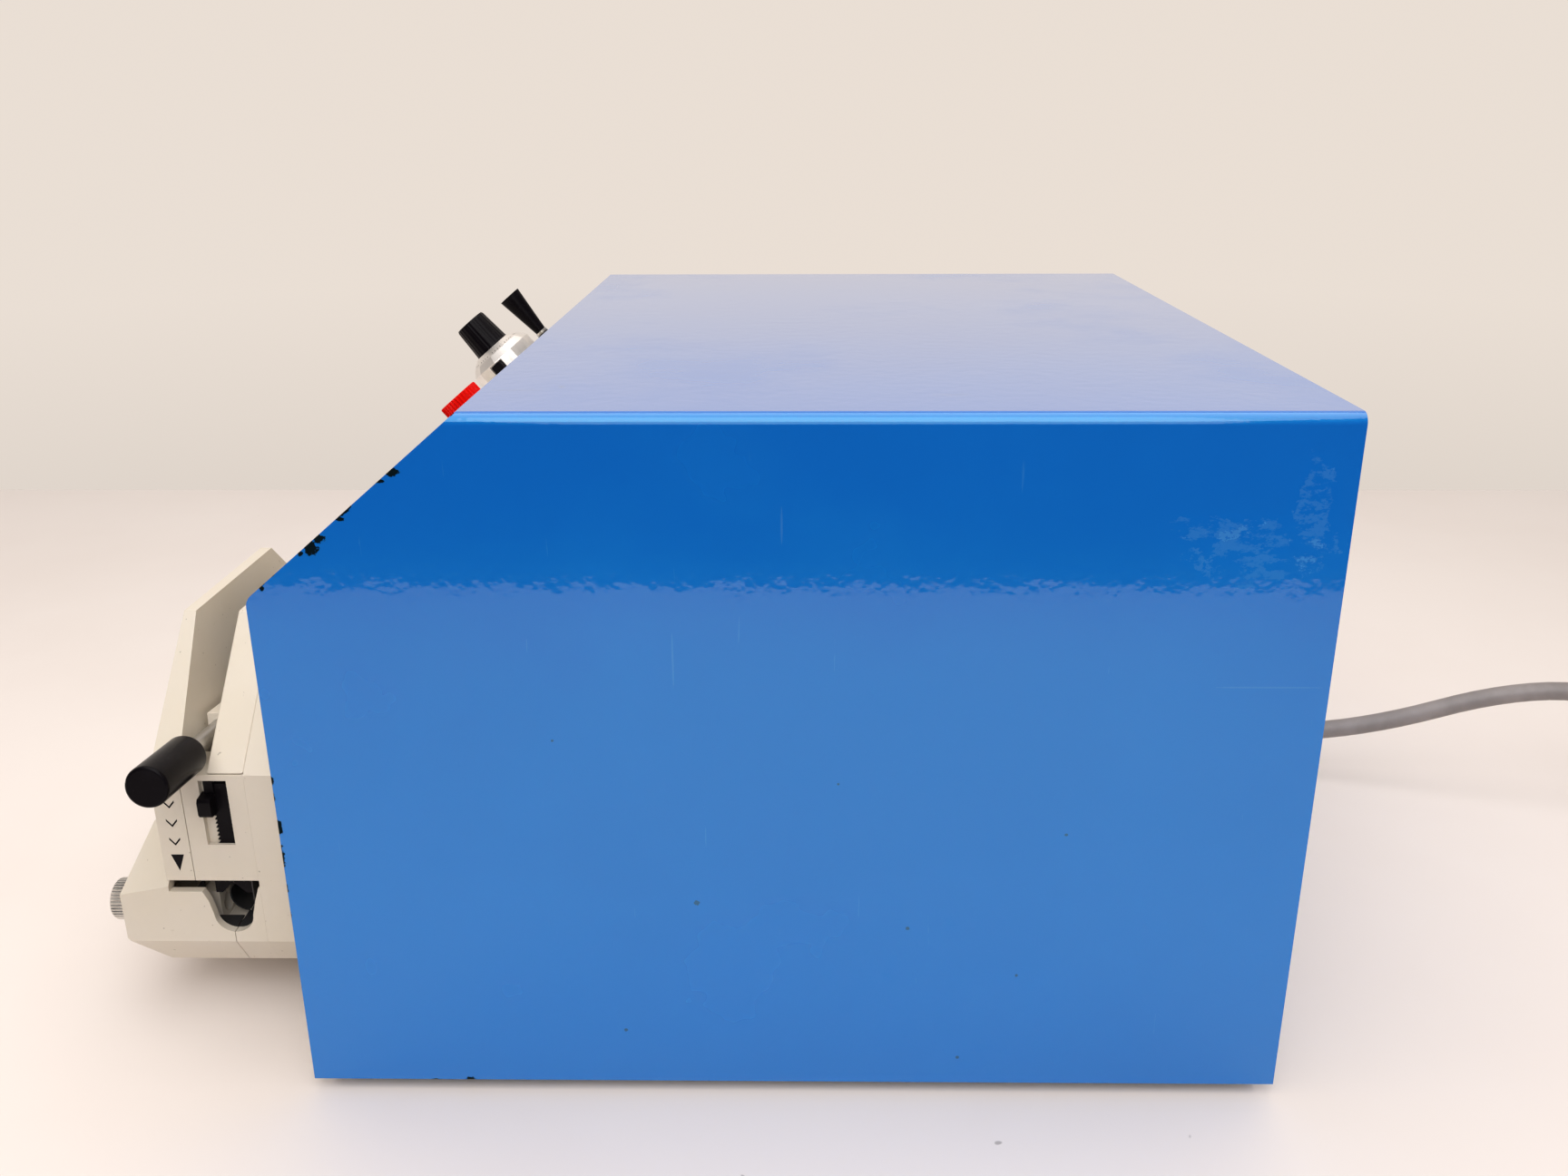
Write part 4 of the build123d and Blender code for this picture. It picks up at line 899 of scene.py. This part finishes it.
TIE_ANGLE = 205  # degrees round the coil
TIE_MIDDLE = (0.0385, 0.0072)  # of the coil's section: from its axis, and up, in metres
TIE_HALF = (0.0112, 0.0071)  # half width and half height
TIE_THICK = 0.0005
TIE_HALF_WIDTH = 0.003
TIE_LOWEST = 0.00005  # just off the table
TIE_SQUARE = 0.35  # 1 would make the loop an ellipse, 0 a box
TIE_STEPS = 48


def squared(value):
    """A sine or cosine pushed towards 1 or -1, so that an ellipse becomes a rounded box."""
    return math.copysign(abs(value) ** TIE_SQUARE, value)


def make_tie(looks):
    """Flat twist tie round the coil's section, pressed flat underneath."""
    angle = math.radians(TIE_ANGLE)
    out = Vector((math.cos(angle), math.sin(angle), 0))
    along = Vector((-out.y, out.x, 0))
    centre = case(*COIL_AT, 0)
    centre.z = 0
    bm = bmesh.new()
    loop = []
    for step in range(TIE_STEPS):
        turn = 2 * math.pi * step / TIE_STEPS
        wide = TIE_MIDDLE[0] + TIE_HALF[0] * squared(math.cos(turn))
        up = TIE_MIDDLE[1] + TIE_HALF[1] * squared(math.sin(turn))
        loop.append((wide, up))
    rows = []
    for side, grow in ((-1, 0), (-1, 1), (1, 1), (1, 0)):
        row = []
        for wide, up in loop:
            skin = TIE_THICK * grow
            far = wide + skin * (1 if wide > TIE_MIDDLE[0] else -1)
            high = max(TIE_LOWEST, up + skin * (1 if up > TIE_MIDDLE[1] else -1))
            edge = centre + out * far + along * side * TIE_HALF_WIDTH
            row.append(bm.verts.new(edge + Vector((0, 0, high))))
        rows.append(row)
    for first, second in zip(rows, rows[1:] + rows[:1]):
        for step in range(TIE_STEPS):
            after = (step + 1) % TIE_STEPS
            bm.faces.new((first[step], first[after], second[after], second[step]))
    return finish_mesh("coil_tie", bm, looks["black_rubber"], "case", 50)


RELIEF_RIBS = 7
RIB_PITCH = 3.0
RIB_START = 7.1  # of the first rib, from the rear panel
RIB_RADIUS = 6.9
RIB_TAPER = 0.28  # each rib's crest is this much lower than the one before


def make_relief(looks):
    """Hexagon nut and ribbed, tapered bend relief round the flex at the rear panel."""
    place = axis_place(case(ROUTE[0][0], GLAND_FACE, ROUTE[0][2]), (0, 1, 0), (1, 0, 0))
    bm = bmesh.new()
    rings = [(3.45, 0.0, 0), (RIB_RADIUS, 0.0, 0), (RIB_RADIUS, RIB_START, 0)]
    for rib in range(RELIEF_RIBS):
        start = RIB_START + rib * RIB_PITCH
        crest = RIB_RADIUS - RIB_TAPER * rib
        rings += [(crest, start + 0.25, 0), (crest - 0.05, start + 1.75, 0)]
        rings += [(crest - 1.0, start + 1.95, 0), (crest - 1.05, start + 2.85, 0)]
    rings += [(4.7, 28.3, 0), (4.6, 28.9, 0), (3.45, 28.95, 0)]
    turned(bm, place, rings, 72, closed=True)
    relief = finish_mesh("bend_relief", bm, looks["black_rubber"], "case", 30)
    bm = bmesh.new()
    rings = [(6.95, 0.05, 0), (8.3, 0.05, 0), (8.9, 0.5, 0.9)]
    rings += [(8.9, 6.4, 0.9), (8.3, 6.95, 0), (6.95, 6.95, 0)]
    turned(bm, place, rings, 144, flats_of(6), closed=True)
    nut = finish_mesh("gland_nut", bm, looks["black_rubber"], "case", 30)
    return relief, nut


# ------------------------------------------------------------------ printed and worn marks

INK = 0.03  # the marks stand this far off the guard
MARKS_AHEAD = 4.1  # of the clamp housing's front
ARROW_UP = 34.2  # tip of the arrow, above the guard's lower edge
ARROW_SIZE = (1.9, 5.4)  # half width and height
CHEVRONS_UP = 42.5
CHEVRON_PITCH = 6.0


def patch(name, outline, material, body):
    """Thin printed mark: one flat face from an outline given in metres."""
    bm = bmesh.new()
    bm.faces.new([bm.verts.new(corner) for corner in outline])
    return finish_mesh(name, bm, material, body)


def make_marks(looks):
    """Down arrow and chevrons on the guard's right edge, beside the tube clamp's tab."""
    low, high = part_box("guard_door")
    x = high.x + INK * MM
    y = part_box("clamp_housing_right")[0].y - MARKS_AHEAD * MM
    half, height = ARROW_SIZE
    z = low.z + ARROW_UP * MM
    outline = [(x, y, z), (x, y - half * MM, z + height * MM), (x, y + half * MM, z + height * MM)]
    patch("arrow_0", outline, looks["black_plastic"], "guard")
    for index in range(3):
        z = low.z + (CHEVRONS_UP + CHEVRON_PITCH * index) * MM
        chevron(f"chevron_{index}", x, y, z, looks)


def chevron(name, x, y, z, looks):
    """Printed V with its point down."""
    half, rise, stroke = 1.6 * MM, 1.9 * MM, 0.75 * MM
    outline = [(x, y, z), (x, y + half, z + rise), (x, y + half, z + rise + stroke)]
    outline += [(x, y, z + stroke), (x, y - half, z + rise + stroke), (x, y - half, z + rise)]
    patch(name, outline, looks["black_plastic"], "guard")


# ------------------------------------------------------------------ put together

# Widths of the rounded edges in millimetres. The clamp housings stay sharp: rounding creased them.
EDGES = {
    "cover": 0.35, "front_panel": 0.4, "rear_panel": 0.3, "base_tray": 0.3, "head_back_block": 0.8,
    "track_block": 0.6, "tube_shelf": 0.6, "guard_door": 0.6, "screw_clip": 0.35, "hinge_bracket": 0.5,
    "clamp_slider_right": 0.2, "clamp_slider_left": 0.2, "crank_boss": 0.6, "crank_knob": 0.9,
    "toggle_lever": 0.6, "mains_plug": 2.2, "switch_nut": 0.3, "fuse_cap": 0.6, "fuse_holder": 0.5,
    "crank_rod": 0.2, "dial_brake": 0.3, "rubber_feet": 0.5, "gear_plate": 0.3, "motor_cap": 0.6,
    "motor_body": 0.8, "rotor_hub": 0.4, "terminal_block": 0.4, "transformer_coil": 1.2,
    "transformer_core": 0.2, "board_parts": 0.3, "plug_pins": 0.3,
}


def dress_nodes(looks):
    """Give every CAD node its look, and round the edges of the moulded and machined ones."""
    for part in frame["record"]["subparts"]:
        node = NODES[part["node"]]
        node.data.materials.clear()
        node.data.materials.append(looks[part["material_slot"]])
    for name, width in EDGES.items():
        soften(NODES[name], width)


def main():
    make_camera()
    make_world()
    make_table()
    make_lights()
    looks = make_looks()
    dress_nodes(looks)
    make_lens(looks)
    make_dial(looks)
    make_toggle_collar(looks)
    make_thumb_screw(looks)
    darken_port(looks)
    flex = make_cord(looks)
    tie = make_tie(looks)
    relief, nut = make_relief(looks)
    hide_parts("cable_gland")
    make_marks(looks)


main()
